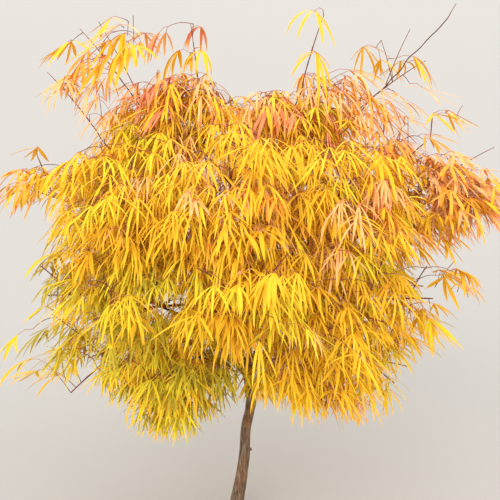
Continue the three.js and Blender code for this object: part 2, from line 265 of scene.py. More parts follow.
MASSES = tuple(
    MassPlan(*row)
    for row in (
        ("top_left", 167, 125, 1020, 168, 4, "trunk", 0.98, 0.04, "amber"),
        ("left_shoulder", 180, 350, 880, 165, 5, "trunk", 0.93, 0.1, "amber"),
        ("right_shoulder", 0, 400, 870, 170, 4, "trunk", 0.955, 0.1, "salmon"),
        ("front_mid", 277, 320, 765, 160, 5, "trunk", 0.91, 0.12, "gold"),
        ("back_right_mid", 50, 310, 700, 165, 4, "trunk", 0.88, 0.12, "gold"),
        ("left_mid", 188, 310, 685, 160, 5, "trunk", 0.86, 0.12, "gold"),
        ("right_mid", 353, 340, 675, 165, 5, "trunk", 0.9, 0.12, "gold"),
        ("back_left_mid", 125, 310, 700, 165, 4, "trunk", 0.825, 0.12, "gold"),
        ("top_right", 0, 140, 1020, 165, 5, "top_left", 0.3, 0.04, "amber"),
        ("top_spray", 180, 85, 1205, 95, 1, "top_left", 0.7, 0.02, "amber"),
        ("upper_left_spray", 180, 288, 1200, 118, 2, "top_left", 0.6, 0.04, "salmon"),
        ("upper_left_outer", 177, 372, 1105, 115, 2, "left_shoulder", 0.55, 0.04, "amber"),
        ("upper_right_spray", 4, 370, 1150, 118, 2, "top_right", 0.55, 0.06, "amber"),
        ("upper_right_outer", 0, 475, 1035, 105, 1, "right_shoulder", 0.65, 0.06, "salmon"),
        ("front_left_upper", 220, 265, 930, 165, 5, "left_shoulder", 0.35, 0.08, "gold"),
        ("front_upper", 270, 230, 955, 160, 5, "top_left", 0.35, 0.06, "amber"),
        ("front_right_upper", 320, 275, 920, 165, 5, "right_shoulder", 0.35, 0.08, "amber"),
        ("back_left_upper", 135, 265, 940, 165, 4, "top_left", 0.45, 0.06, "gold"),
        ("back_right_upper", 48, 265, 945, 165, 4, "top_right", 0.45, 0.06, "gold"),
        ("front_left_mid", 234, 310, 725, 160, 4, "front_mid", 0.35, 0.1, "gold"),
        ("front_right_mid", 314, 315, 710, 160, 5, "front_mid", 0.45, 0.1, "gold"),
        ("left_low", 184, 345, 495, 145, 3, "left_mid", 0.5, 0.15, "gold"),
        ("low_left_front", 226, 235, 540, 145, 3, "left_mid", 0.3, 0.12, "lemon"),
        ("low_right_front", 314, 235, 540, 145, 3, "right_mid", 0.3, 0.12, "lemon"),
        ("right_low", 0, 335, 505, 145, 3, "right_mid", 0.45, 0.15, "gold"),
        ("back_low", 90, 250, 520, 150, 3, "back_right_mid", 0.3, 0.12, "lemon"),
        ("right_lone", 5, 510, 640, 85, 1, "right_mid", 0.7, 0.08, "gold"),
        ("top_twig", -18, 195, 1240, 70, 0, "top_right", 0.3, 0, "salmon"),
        ("bare_twig", -2, 495, 1290, 40, 0, "upper_right_spray", 0.35, 0, None),
    )
)


def unit(vector: Array) -> Array:
    """Vectors of length 1 in the same directions."""
    return vector / np.linalg.norm(vector, axis=-1, keepdims=True)


def turned(vector: Array, degrees: float | Array) -> Array:
    """Vectors turned anticlockwise about the vertical, seen from above.

    Args:
        vector: the vectors.
        degrees: how far.

    Returns:
        The turned vectors.
    """
    angle = np.radians(degrees)
    cos, sin = np.cos(angle), np.sin(angle)
    x, y, z = vector[..., 0], vector[..., 1], vector[..., 2]
    return np.stack([x * cos - y * sin, x * sin + y * cos, z + 0 * cos], axis=-1)


def level(vector: Array) -> Array:
    """Directions made level."""
    return unit(vector * np.array([1.0, 1.0, 0.0]))


def level_aim(degrees: float) -> Array:
    """The level direction at an angle from the tree's right, anticlockwise."""
    angle = math.radians(degrees)
    return np.array([math.cos(angle), math.sin(angle), 0.0])


def dipped(outward: Array, turn: float | Array, dip: float | Array) -> Array:
    """Level directions turned about the vertical and then dipped below it, in degrees."""
    down = np.radians(np.asarray(dip, float))[..., None]
    return turned(outward, turn) * np.cos(down) - UP * np.sin(down)


def distances(from_a: Array, to_a: Array, from_b: Array, to_b: Array) -> Array:
    """The least distances between straight stretches.

    Args:
        from_a: where each of n stretches starts.
        to_a: where it ends.
        from_b: where each of m other stretches starts.
        to_b: where it ends.

    Returns:
        An n by m array.
    """
    a, b = (to_a - from_a)[:, None], (to_b - from_b)[None]
    apart = from_a[:, None] - from_b[None]
    aa, ab, bb = (a * a).sum(-1), (a * b).sum(-1), (b * b).sum(-1)
    ac, bc = (a * apart).sum(-1), (b * apart).sum(-1)
    spread = aa * bb - ab * ab
    askew = spread > PARALLEL
    safe = np.where(askew, spread, 1.0)
    share_a = np.where(askew, np.clip((ab * bc - bb * ac) / safe, 0, 1), 0.0)
    share_b = np.clip((ab * share_a + bc) / bb, 0, 1)
    share_a = np.clip((ab * share_b - ac) / aa, 0, 1)
    return np.linalg.norm(apart + a * share_a[..., None] - b * share_b[..., None], axis=-1)


@dataclass
class Limb:
    """The trunk or a bough: its middle line and how thick it is."""

    name: str
    curve: Curve
    root_radius: float
    tip_radius: float
    heading: Array = field(default_factory=lambda: UP.copy())

    def radius(self, share: float) -> float:
        """The limb's radius at a share of its length."""
        return self.root_radius + (self.tip_radius - self.root_radius) * share


@dataclass
class Trunk(Limb):
    """The one trunk, with its root flare and its old graft."""

    name: str = "trunk"
    curve: Curve = field(
        default_factory=lambda: TrunkLine(
            np.array([[0, 0, 0], [24, 0, 157], [29, 0, 245], [42, 0, 320], [38, 0, 362], [42, 0, 450]], float)
        )
    )
    root_radius: float = 16.5
    tip_radius: float = 9.2
    flare: float = 6
    flare_height: float = 42
    flare_lobes: int = 4
    flare_evenness: float = 0.6
    knob: float = 1.6
    knob_height: float = 320
    knob_spread: float = 12

    def around(self, height: Array, angle: Array) -> Array:
        """The radius at a height and an angle round the trunk.

        Args:
            height: the height above ground.
            angle: the angle from the tree's right, in radians.

        Returns:
            The radius.
        """
        taper = self.root_radius + (self.tip_radius - self.root_radius) * height / self.curve.controls[-1, 2]
        lobes = self.flare_evenness + (1 - self.flare_evenness) * np.cos(self.flare_lobes * angle)
        knob = self.knob * np.exp(-(((height - self.knob_height) / self.knob_spread) ** 2))
        return taper + self.flare * lobes * np.exp(-height / self.flare_height) + knob

    def radius(self, share: float) -> float:
        """The trunk's radius at a share of its length, on its right."""
        return float(self.around(self.curve.point(share)[2], 0.0))


def bough_of(plan: MassPlan, carrier: Limb) -> Limb:
    """The bough of a mass: it leaves its carrier, arches and points on into the stem at its tip.

    Args:
        plan: the mass that the bough carries.
        carrier: the trunk or bough that it leaves.

    Returns:
        The bough.
    """
    start = carrier.curve.point(plan.share)
    chord = unit(plan.middle - start)
    tip = plan.middle - chord * RULE.stem_share * plan.radius
    third = np.linalg.norm(tip - start) / 3
    steepness = 4 * plan.arch
    departure, heading = unit(chord + UP * steepness), unit(chord - UP * steepness)
    curve = Curve(np.array([start, start + departure * third, tip - heading * third, tip]))
    root_radius = max(RULE.bough_share * carrier.radius(plan.share), RULE.bough_tip)
    return Limb(f"{plan.name}_bough", curve, root_radius, RULE.bough_tip, heading)


@dataclass
class Star:
    """Where the solids have one large leaf, or try one, for each of several ways to place it."""

    root: Array
    stalk: Array
    hub: Array
    tips: Array
    rim: Array
    aim: Array
    scale: Array

    @classmethod
    def at(cls, root: Array, ahead: Array, side: float, play: Array) -> "Star":
        """All the ways that the rule tries at one place, in its order.

        Args:
            root: the place on the middle line of a stem or twig.
            ahead: the level direction of that stem or twig.
            side: 1 for its left and -1 for its right.
            play: a seeded number from -1 to 1 for each lobe.

        Returns:
            The stars, the first way first.
        """
        scale = np.repeat(RULE.leaf_scales, len(RULE.leaf_turns))
        turn = np.tile(RULE.leaf_turns, len(RULE.leaf_scales)) * side
        aim = unit(turned(np.broadcast_to(ahead, (len(turn), 3)), turn) + UP * RULE.stalk_rise)
        outward = level(aim)
        hub = root + aim * (RULE.stalk * scale)[:, None]
        stalk = root + (hub - root) * RULE.stalk_clear
        turns, dips = np.array(RULE.lobe_turns, float), np.array(RULE.lobe_dips, float)
        reach = RULE.lobe_length * np.array(RULE.lobe_lengths) * (1 + RULE.length_play * play)
        droop = dips + RULE.dip_play * play[::-1]
        spread = dipped(outward[:, None], turns[None], droop[None])
        tips = hub[:, None] + spread * (reach[None] * scale[:, None])[..., None]
        between = (turns[1:] + turns[:-1]) / 2
        notch = dipped(outward[:, None], between[None], np.full((1, len(between)), RULE.notch_dip))
        notches = hub[:, None] + notch * (RULE.notch_radius * scale)[:, None, None]
        throat = dipped(outward[:, None], np.array([[-RULE.throat_turn, RULE.throat_turn]]), RULE.notch_dip)
        throats = hub[:, None] + throat * (RULE.throat_radius * scale)[:, None, None]
        across = np.cross(outward, UP) * RULE.stalk_width / 2
        feet = np.stack([root + across, root - across], axis=1)
        rim = np.concatenate([tips, notches, throats, feet, hub[:, None]], axis=1)
        return cls(root, stalk, hub, tips, rim, aim, scale)

    def one(self, index: int) -> "Star":
        """The star of one way."""
        parts = (self.stalk, self.hub, self.tips, self.rim, self.aim, self.scale)
        return Star(self.root, *(part[index] for part in parts))


class Space:
    """The room that one mass keeps to, and what is already in it."""

    def __init__(self, plan: MassPlan, bones: tuple[Array, Array, Array]) -> None:
        """Sets up the walls between this mass and the others.

        Args:
            plan: the mass.
            bones: the starts, ends and radii of the straight stretches of all limbs.
        """
        others = [other for other in MASSES if other is not plan]
        across = np.array([other.middle for other in others]) - plan.middle
        distance = np.linalg.norm(across, axis=1)
        weights = plan.radius**2 - np.array([other.radius for other in others]) ** 2
        self.normals = across / distance[:, None]
        self.offsets = self.normals @ plan.middle + (distance**2 + weights) / (2 * distance)
        self.bones = bones
        self.taken: list[tuple[Array, Array, float]] = []

    def holds(self, points: Array, slack: float = 0) -> Array:
        """Whether each point lies in the space, or no further beyond its walls than the slack."""
        inside = (points @ self.normals.T - self.offsets < slack - RULE.wall_gap).all(-1)
        return inside & (points[..., 2] > RULE.lowest_leaf)

    def free(self, starts: Array, ends: Array, radius: Array, room: Array) -> Array:
        """Whether each straight stretch stays clear of every limb and of what is there.

        Args:
            starts: where each stretch starts.
            ends: where it ends.
            radius: how far it stays off the limbs.
            room: how far it stays off the rest.

        Returns:
            True or False for each.
        """
        near = distances(starts, ends, self.bones[0], self.bones[1])
        clear = (near > self.bones[2] + radius[:, None] + RULE.limb_gap).all(1)
        if self.taken:
            from_there, to_there, rooms = (np.array(part) for part in zip(*self.taken))
            near = distances(starts, ends, from_there, to_there)
            clear &= (near > rooms + room[:, None]).all(1)
        return clear

    def take(self, start: Array, end: Array, room: float) -> None:
        """Fills a straight stretch, with the room that others leave round it."""
        self.taken.append((start, end, room))

    def take_star(self, star: Star) -> None:
        """Fills the room of one star.

        Args:
            star: the star.
        """
        self.take(star.stalk, star.hub, RULE.stalk_width)
        for tip in star.tips:
            self.take(star.hub, tip, RULE.lobe_room)

    def forget(self, count: int) -> None:
        """Empties all but the first stretches."""
        del self.taken[count:]

    def takes_twig(self, start: Array, end: Array) -> bool:
        """Whether a straight twig fits.

        Args:
            start: where it starts.
            end: where it ends.

        Returns:
            True or False.
        """
        away = start + (end - start) * RULE.twig_clear
        if not self.holds(np.array([away, end])).all():
            return False
        radius = np.array([RULE.twig_radius])
        return bool(self.free(away[None], end[None], radius, radius)[0])

    def first_star(self, stars: Star) -> Star | None:
        """The first of some stars that fits, or None.

        Args:
            stars: the stars.

        Returns:
            The star, or None.
        """
        lobes = len(RULE.lobe_turns)
        radius = np.array([RULE.stalk_width] + [RULE.notch_radius / 2] * lobes)
        room = np.array([RULE.stalk_width] + [RULE.lobe_room] * lobes)
        for index in np.flatnonzero(self.holds(stars.rim).all(1)):
            star = stars.one(index)
            starts = np.concatenate([star.stalk[None], np.repeat(star.hub[None], lobes, axis=0)])
            ends = np.concatenate([star.hub[None], star.tips])
            if self.free(starts, ends, radius, room).all():
                return star
        return None


@dataclass
class Growth:
    """What the rule grows in one mass: its stem, its twigs and the stars on them."""

    plan: MassPlan
    stem: Curve
    twigs: list[tuple[Array, Array]] = field(default_factory=list)
    stars: list[Star] = field(default_factory=list)

    def middle_at(self, share: float) -> Array:
        """A point on the stem, taken as straight between its rings.

        Args:
            share: from 0 at the start to 1 at the end.

        Returns:
            The point.
        """
        ring = min(int(share * RULE.stem_rings), RULE.stem_rings - 1)
        start, end = self.stem.at(ring / RULE.stem_rings), self.stem.at((ring + 1) / RULE.stem_rings)
        return start + (end - start) * (share * RULE.stem_rings - ring)


class Grower:
    """Grows all masses by the solids' rule, one after the other."""

    def __init__(self) -> None:
        """Makes the limbs."""
        self.limbs: dict[str, Limb] = {"trunk": Trunk()}
        for plan in MASSES:
            self.limbs[plan.name] = bough_of(plan, self.limbs[plan.carrier])
        starts, ends, radii = [], [], []
        for limb in self.limbs.values():
            points = limb.curve.sampled(RULE.bough_rings)
            starts.extend(points[:-1])
            ends.extend(points[1:])
            radii.extend(limb.radius(i / RULE.bough_rings) for i in range(RULE.bough_rings))
        self.bones = (np.array(starts), np.array(ends), np.array(radii))
        self.hubs: list[Array] = []

    def grow(self) -> list[Growth]:
        """Grows every mass that has a tint."""
        leafy = [plan for plan in MASSES if plan.tint]
        return [self.mass(plan, Seeded(RULE.first_seed + i)) for i, plan in enumerate(leafy)]

    def mass(self, plan: MassPlan, random: Seeded) -> Growth:
        """Grows one mass.

        Args:
            plan: the mass.
            random: its own stream of numbers.

        Returns:
            What has grown.
        """
        bough = self.limbs[plan.name]
        space = Space(plan, self.bones)
        start = bough.curve.point(1) + bough.heading * RULE.gap
        length = 2 * RULE.stem_share * plan.radius
        end = start + bough.heading * length - UP * RULE.stem_sag * length
        growth = Growth(plan, Curve(np.array([start, start + bough.heading * length / 2, end])))
        points = growth.stem.sampled(2 * RULE.stem_rings)
        for first, last in zip(points[:-1], points[1:]):
            space.take(first, last, RULE.stem_radius)
        for share in RULE.pairs_on_stem:
            place, ahead = growth.middle_at(share), growth.stem.direction(share)
            self.keep(growth, space, self.pair(space, place, ahead, random))
        for _ in range(plan.twigs):
            twig, stars = self.leafiest_twig(growth, space, random)
            if twig is not None:
                space.take(*twig, RULE.twig_radius)
                growth.twigs.append(twig)
                self.keep(growth, space, stars)
        return growth

    def keep(self, growth: Growth, space: Space, stars: list[Star]) -> None:
        """Keeps stars and fills their room.

        Args:
            growth: the mass that they grow on.
            space: its room.
            stars: the stars.
        """
        for star in stars:
            space.take_star(star)
        self.hubs.extend(star.hub for star in stars)
        growth.stars.extend(stars)

    def pair(self, space: Space, place: Array, ahead: Array, random: Seeded) -> list[Star]:
        """Up to two stars, one on each side of a place. Their room is filled.

        Args:
            space: the room of the mass.
            place: where both stars start.
            ahead: the direction of the stem or twig there.
            random: its stream of numbers.

        Returns:
            The stars.
        """
        found = []
        for side in (1, -1):
            play = np.array([2 * random() - 1 for _ in RULE.lobe_turns])
            star = space.first_star(Star.at(place, level(ahead), side, play))
            if star is not None:
                space.take_star(star)
                found.append(star)
        return found

    def empty_places(self, plan: MassPlan, space: Space, random: Seeded) -> list[Array]:
        """Random places round the mass's middle, those furthest from other stars first.

        Args:
            plan: the mass.
            space: its room.
            random: its stream of numbers.

        Returns:
            The places.
        """
        places = []
        hubs = np.array(self.hubs) if self.hubs else np.full((1, 3), FAR_AWAY)
        for _ in range(RULE.places_tried):
            place = 2 * np.array([random(), random(), random()]) - 1
            in_ball = place @ place < 1
            place = place * np.array([1, 1, RULE.flatness]) * plan.radius + plan.middle
            if in_ball and space.holds(place):
                room = min(plan.radius, np.linalg.norm(hubs - place, axis=1).min())
                places.append((room, place))
        places.sort(key=lambda found: -found[0])
        return [place for _, place in places[: RULE.places_kept]]

    def leafiest_twig(
        self, growth: Growth, space: Space, random: Seeded
    ) -> tuple[tuple[Array, Array] | None, list[Star]]:
        """The twig with the most stars among those to the emptiest places.

        Args:
            growth: the mass so far.
            space: its room.
            random: its stream of numbers.

        Returns:
            The ends of the twig, or None, and its stars.
        """
        best: tuple[tuple[Array, Array] | None, list[Star]] = (None, [])
        nodes = [growth.middle_at((i + 0.5) / RULE.stem_nodes) for i in range(RULE.stem_nodes)]
        for place in self.empty_places(growth.plan, space, random):
            nearest = int(np.argmin([np.linalg.norm(node - place) for node in nodes]))
            start = nodes[max(nearest - RULE.nodes_back, 0)]
            if np.linalg.norm(place - start) <= RULE.shortest_twig or not space.takes_twig(start, place):
                continue
            kept = len(space.taken)
            space.take(start, place, RULE.twig_radius)
            stars: list[Star] = []
            for share in RULE.pairs_on_twig:
                stars.extend(self.pair(space, start + (place - start) * share, place - start, random))
            space.forget(kept)
            if len(stars) > len(best[1]):
                best = ((start, place), stars)
        return best


# The finer growth that stands for each star


@dataclass(frozen=True)
class LeafShape:
    """The named sizes of one leaf of string-like lobes, in millimetres and degrees.

    What ends in _play is how far a lobe or leaf strays from the rule, as a standard deviation.
    """

    lobe_length: float = 90
    half_width: float = 2.2
    rings: tuple[float, ...] = (0, 0.12, 0.32, 0.54, 0.75, 0.91, 1)
    widths: tuple[float, ...] = (0.42, 0.6, 0.95, 1, 0.74, 0.36, 0)
    tint_rings: tuple[int, int] = (1, 4)
    turns: tuple[float, ...] = (-122, -82, -41, 0, 41, 82, 122)
    lengths: tuple[float, ...] = (0.5, 0.82, 0.96, 1, 0.96, 0.82, 0.5)
    outer_turn: float = 100
    outer_share: float = 0.55
    broad_outer_share: float = 0.2
    broad_from: float = 1.3
    fold: float = 0.34
    fans: Pair = (0.6, 1.02)
    first_dip: float = 6
    last_dip: float = 66
    steepest: float = 96
    hang: float = 0.7
    turn_play: float = 8
    length_play: float = 0.09
    width_play: float = 0.12
    first_dip_play: float = 7
    last_dip_play: float = 8
    droop_play: float = 14
    roll_play: float = 17
    sweep_play: float = 14
    bend_play: float = 13
    twist_play: float = 24


@dataclass(frozen=True)
class StalkShape:
    """The named sizes of a leaf stalk and of how its leaf sits, in millimetres and degrees."""

    length: float = 33
    lengths: Pair = (0.75, 1.3)
    radius: float = 0.62
    taper: Pair = (1.15, 0.9)
    bow: float = 0.12
    steps: int = 2
    sides: int = 3
    turn: float = 62
    turn_shares: Pair = (0.7, 1.35)
    slopes: Pair = (-1.1, 0.5)
    end_slopes: Pair = (-0.2, 0.2)
    end_turn_play: float = 12
    breadths: Pair = (0.85, 1.2)
    tilts: Pair = (-4, 34)
    leaf_turn_play: float = 17
    outward_lean: float = 0.62
    side_from: float = 200
    side_width: float = 230
    side_lift: float = 17
    open_reach: float = 400
    open_height: float = 1110
    open_rise: float = 8
    open_breadth: float = 0.88
    bold_share: float = 0.07
    flat_droop: float = 50
    reach: float = 0.6
    flat_reach: float = 0.3
    drop: float = 0.75
    flat_drop: float = 0.3
    middle_reach: float = 0.6
    middle_drop: float = 0.35


@dataclass(frozen=True)
class ShootShape:
    """The named sizes of the stems, twigs and side shoots, in millimetres and degrees."""

    length: float = 74
    length_shares: Pair = (0.45, 0.55)
    radius: float = 1.0
    tip_radius: float = 0.55
    sides: int = 5
    rings: int = 6
    nodes: tuple[float, ...] = (0.4, 0.72, 1.0)
    rise: float = 0.11
    sag: float = 0.22
    full_scale: float = 0.8
    sizes: Pair = (0.86, 0.14)
    pair_sizes: Pair = (0.66, 1.12)
    end_sizes: Pair = (0.7, 0.95)
    only_sizes: Pair = (0.98, 1.12)
    new_tint_share: float = 0.2
    open_reach: float = 400
    open_pair_share: float = 0.4
    bare_share: float = 0.45
    stem_steps: int = 12
    stem_sides: int = 7
    stem_radii: Pair = (2.9, 1.5)
    open_stem_radii: Pair = (1.5, 0.9)
    stem_spurs: int = 3
    stem_spur_start: float = 0.05
    twig_bow: float = 0.05
    twig_steps: int = 6
    twig_sides: int = 6
    twig_radii: Pair = (1.7, 1.1)
    open_twig_share: float = 0.6
    cut_twig_points: int = 4
    swell: float = 0.18
    swell_share: float = 0.3
    spur: float = 34
    spur_lengths: Pair = (0.6, 1.5)
    spur_places: Pair = (0.3, 0.7)
    spur_turns: Pair = (50, 95)
    spur_slopes: Pair = (0.0, 0.5)
    spur_sizes: Pair = (0.78, 1.0)
    spur_nodes: tuple[float, ...] = (0.9,)
    spur_bow: float = 0.1
    spur_steps: int = 3
    fill_tried: int = 3
    fill_flatness: float = 0.9
    fill_slack: float = 42
    fill_climb: float = 0.6
    fill_shortest: float = 18
    fill_rise: float = 0.2
    fill_steps: int = 5
    fill_sizes: Pair = (0.78, 1.04)
    lone_stalk: float = 24
    lone_rise: float = 0.06
    lone_steps: int = 8
    lone_outward: float = 1.6
    lone_node: float = 0.86
    lone_node_step: float = 0.3
    lone_sizes: Pair = (1.0, 1.2)
    lone_red_height: float = 840


class Tint(Enum):
    """The plain autumn colours of the leaves, and one lemon darkened as painted shade."""

    GOLD = (0.935, 0.560, 0.028)
    HONEY = (0.880, 0.490, 0.022)
    LEMON = (0.810, 0.630, 0.030)
    # Lemon at about six tenths of its brightness: painted shade for leaves in the shaded lower and left
    # crown.
    OLIVE = (0.500, 0.390, 0.030)
    AMBER = (0.930, 0.430, 0.048)
    PEACH = (0.950, 0.530, 0.200)
    SALMON = (0.880, 0.320, 0.150)
    ORANGE = (0.800, 0.220, 0.050)
    RUST = (0.400, 0.080, 0.025)


Palette = dict[Tint, float]


@dataclass(frozen=True)
class Blend:
    """How often each tint comes up at the hub and at the tips of lobes of one tint."""

    hub: Palette
    tip: Palette


BLENDS = {
    # The peach share at the hubs of gold leaves is a painted reflection of the sky.
    Tint.GOLD: Blend({Tint.GOLD: 0.7, Tint.PEACH: 0.17, Tint.HONEY: 0.13}, {Tint.GOLD: 0.6, Tint.HONEY: 0.4}),
    Tint.HONEY: Blend({Tint.HONEY: 0.6, Tint.AMBER: 0.4}, {Tint.HONEY: 0.6, Tint.AMBER: 0.4}),
    Tint.LEMON: Blend({Tint.LEMON: 0.6, Tint.GOLD: 0.4}, {Tint.LEMON: 0.5, Tint.GOLD: 0.5}),
    # Darkened lemon leaves, painted shade: lemon hubs and partly darkened tips.
    Tint.OLIVE: Blend({Tint.LEMON: 1}, {Tint.OLIVE: 0.4, Tint.LEMON: 0.6}),
    Tint.AMBER: Blend(
        {Tint.AMBER: 0.4, Tint.PEACH: 0.4, Tint.SALMON: 0.2},
        {Tint.AMBER: 0.7, Tint.ORANGE: 0.3},
    ),
    Tint.PEACH: Blend(
        {Tint.PEACH: 0.7, Tint.SALMON: 0.3},
        {Tint.PEACH: 0.4, Tint.AMBER: 0.45, Tint.SALMON: 0.15},
    ),
    Tint.SALMON: Blend({Tint.SALMON: 0.6, Tint.PEACH: 0.4}, {Tint.SALMON: 0.5, Tint.AMBER: 0.5}),
    Tint.ORANGE: Blend({Tint.SALMON: 1}, {Tint.ORANGE: 0.8, Tint.RUST: 0.2}),
}

PALETTES: dict[str, Palette] = {
    "gold": {Tint.GOLD: 0.62, Tint.LEMON: 0.18, Tint.HONEY: 0.15, Tint.PEACH: 0.05},
    "amber": {Tint.GOLD: 0.54, Tint.PEACH: 0.18, Tint.AMBER: 0.1, Tint.LEMON: 0.15, Tint.SALMON: 0.03},
    "salmon": {Tint.PEACH: 0.42, Tint.GOLD: 0.26, Tint.AMBER: 0.17, Tint.SALMON: 0.11, Tint.ORANGE: 0.04},
    # Low leaves: lemon and gold, and over a quarter darkened lemon as painted shade.
    "lemon": {Tint.LEMON: 0.42, Tint.GOLD: 0.3, Tint.OLIVE: 0.28},
}
PALETTE_CHANGES = {
    # Left and low masses take the lemon tints: greener, and darker as painted shade.
    "left_mid": "lemon",
    "front_left_mid": "lemon",
    "left_low": "lemon",
    "low_right_front": "gold",
    "upper_left_outer": "salmon",
    "top_spray": "salmon",
}


def palette_of(plan: MassPlan) -> Palette:
    """The tints of a mass. Some low ones are greener and, as painted shade, darker than their bough's others,
    and some high ones redder.
    """
    return PALETTES[PALETTE_CHANGES.get(plan.name, plan.tint)]


@dataclass
class LeafList:
    """The leaves of one joined piece, as growing lists of their places and colours."""

    hubs: list[Array] = field(default_factory=list)
    turns: list[float] = field(default_factory=list)
    sizes: list[float] = field(default_factory=list)
    breadths: list[float] = field(default_factory=list)
    tilts: list[float] = field(default_factory=list)
    droops: list[float] = field(default_factory=list)
    tints: list[tuple[int, int, int]] = field(default_factory=list)

    def add(self, hub: Array, tints: tuple[int, int, int], **play: float) -> None:
        """Adds one leaf.

        Args:
            hub: where its lobes meet.
            tints: the numbers of its tints at the hub, along the lobes and at the tips.
            play: its turn (the direction it points in, anticlockwise from the tree's right), its size (a
                share of a full leaf), its breadth (a share of a narrow leaf's), its tilt (how far its plane
                tips outward) and its droop (how far its lobes dip at their tips), with angles in degrees.
        """
        self.hubs.append(hub)
        self.tints.append(tints)
        for name, value in play.items():
            getattr(self, f"{name}s").append(value)


@dataclass
class Gathered:
    """Triangles gathered from many small shapes, to be one joined mesh."""

    points: list[Array] = field(default_factory=list)
    faces: list[Array] = field(default_factory=list)
    slots: list[Array] = field(default_factory=list)
    count: int = 0

    def add(self, points: Array, faces: Array, slots: Array | int = 0) -> None:
        """Adds some triangles.

        Args:
            points: their corners, in millimetres.
            faces: three corner numbers for each.
            slots: the material number of each, or of all.
        """
        flat = points.reshape(-1, 3)
        self.points.append(flat)
        self.faces.append(faces.reshape(-1, 3) + self.count)
        self.slots.append(np.broadcast_to(slots, (faces.size // 3,)))
        self.count += len(flat)

    def piece(self, name: str, materials: list[Material]) -> bpy.types.Object:
        """Joins everything into one object.

        Args:
            name: the object's name.
            materials: its materials, in the order of their numbers.

        Returns:
            The object, linked to the scene and riding on the tree's one body.
        """
        points = np.concatenate(self.points) * MM
        faces = np.concatenate(self.faces)
        mesh = bpy.data.meshes.new(name)
        mesh.vertices.add(len(points))
        mesh.vertices.foreach_set("co", points.astype(np.float32).ravel())
        mesh.loops.add(faces.size)
        mesh.loops.foreach_set("vertex_index", faces.astype(np.int32).ravel())
        mesh.polygons.add(len(faces))
        mesh.polygons.foreach_set("loop_start", np.arange(0, faces.size, 3, dtype=np.int32))
        for material in materials:
            mesh.materials.append(material)
        mesh.polygons.foreach_set("material_index", np.concatenate(self.slots).astype(np.int32))
        mesh.polygons.foreach_set("use_smooth", np.ones(len(faces), dtype=bool))
        mesh.update(calc_edges=True)
        mesh.validate()
        piece = bpy.data.objects.new(name, mesh)
        bpy.context.scene.collection.objects.link(piece)
        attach(piece, "root")
        log.info("%s: %d triangles", name, len(faces))
        return piece


def grid_faces(rings: int, sides: int, closed: bool) -> Array:
    """The triangles between the rings of a strip or tube.

    Args:
        rings: how many rings of points there are.
        sides: how many points each ring has.
        closed: whether the last point of a ring joins the first.

    Returns:
        Three corner numbers for each triangle.
    """
    ring = np.arange(rings - 1)[:, None] * sides
    spans = sides if closed else sides - 1
    here, after = np.arange(spans), (np.arange(spans) + 1) % sides
    a, b = ring + here, ring + after
    c, d = b + sides, a + sides
    return np.stack([np.stack([a, b, c], -1), np.stack([a, c, d], -1)], axis=2).reshape(-1, 3)


def repeated(faces: Array, copies: int, stride: int) -> Array:
    """The same triangles for several copies of a shape, each with its own corners."""
    return faces[None] + (np.arange(copies) * stride)[:, None, None]


def tubes(paths: Array, radii: Array, sides: int) -> tuple[Array, Array]:
    """Round tubes along curves that bend in an upright plane, closed at their tips.

    Args:
        paths: k curves of r points each.
        radii: the radius at each point.
        sides: how many sides each tube has.

    Returns:
        The corners and the triangles.
    """
    across = paths[:, -1] - paths[:, 0]
    across = np.stack([-across[:, 1], across[:, 0], NOT_NOTHING + 0 * across[:, 2]], axis=-1)
    across = unit(across)[:, None]
    tangents = unit(np.gradient(paths, axis=1))
    along = unit(np.cross(tangents, across))
    angles = 2 * np.pi * np.arange(sides) / sides
    offsets = across[:, :, None] * np.cos(angles)[:, None] + along[:, :, None] * np.sin(angles)[:, None]
    points = paths[:, :, None] + offsets * radii[:, :, None, None]
    rings = paths.shape[1]
    last = (rings - 1) * sides
    tip = np.array([[last + i, last + i + 1, last] for i in range(1, sides - 1)])
    faces = np.concatenate([grid_faces(rings, sides, True), tip])
    return points, repeated(faces, len(paths), rings * sides)


def length_of(path: Array) -> float:
    """The length of a line of points."""
    return float(np.linalg.norm(np.diff(path, axis=0), axis=1).sum())


def bowed(start: Array, end: Array, rise: float, steps: int) -> Array:
    """A curve from one point to another that bows upward.

    Args:
        start: where it starts.
        end: where it ends.
        rise: how far its middle rises, as a share of its length.
        steps: how many steps it has.

    Returns:
        Its points.
    """
    share = np.linspace(0, 1, steps + 1)[:, None]
    lift = rise * np.linalg.norm(end - start) * 4 * share * (1 - share)
    return start + (end - start) * share + UP * lift


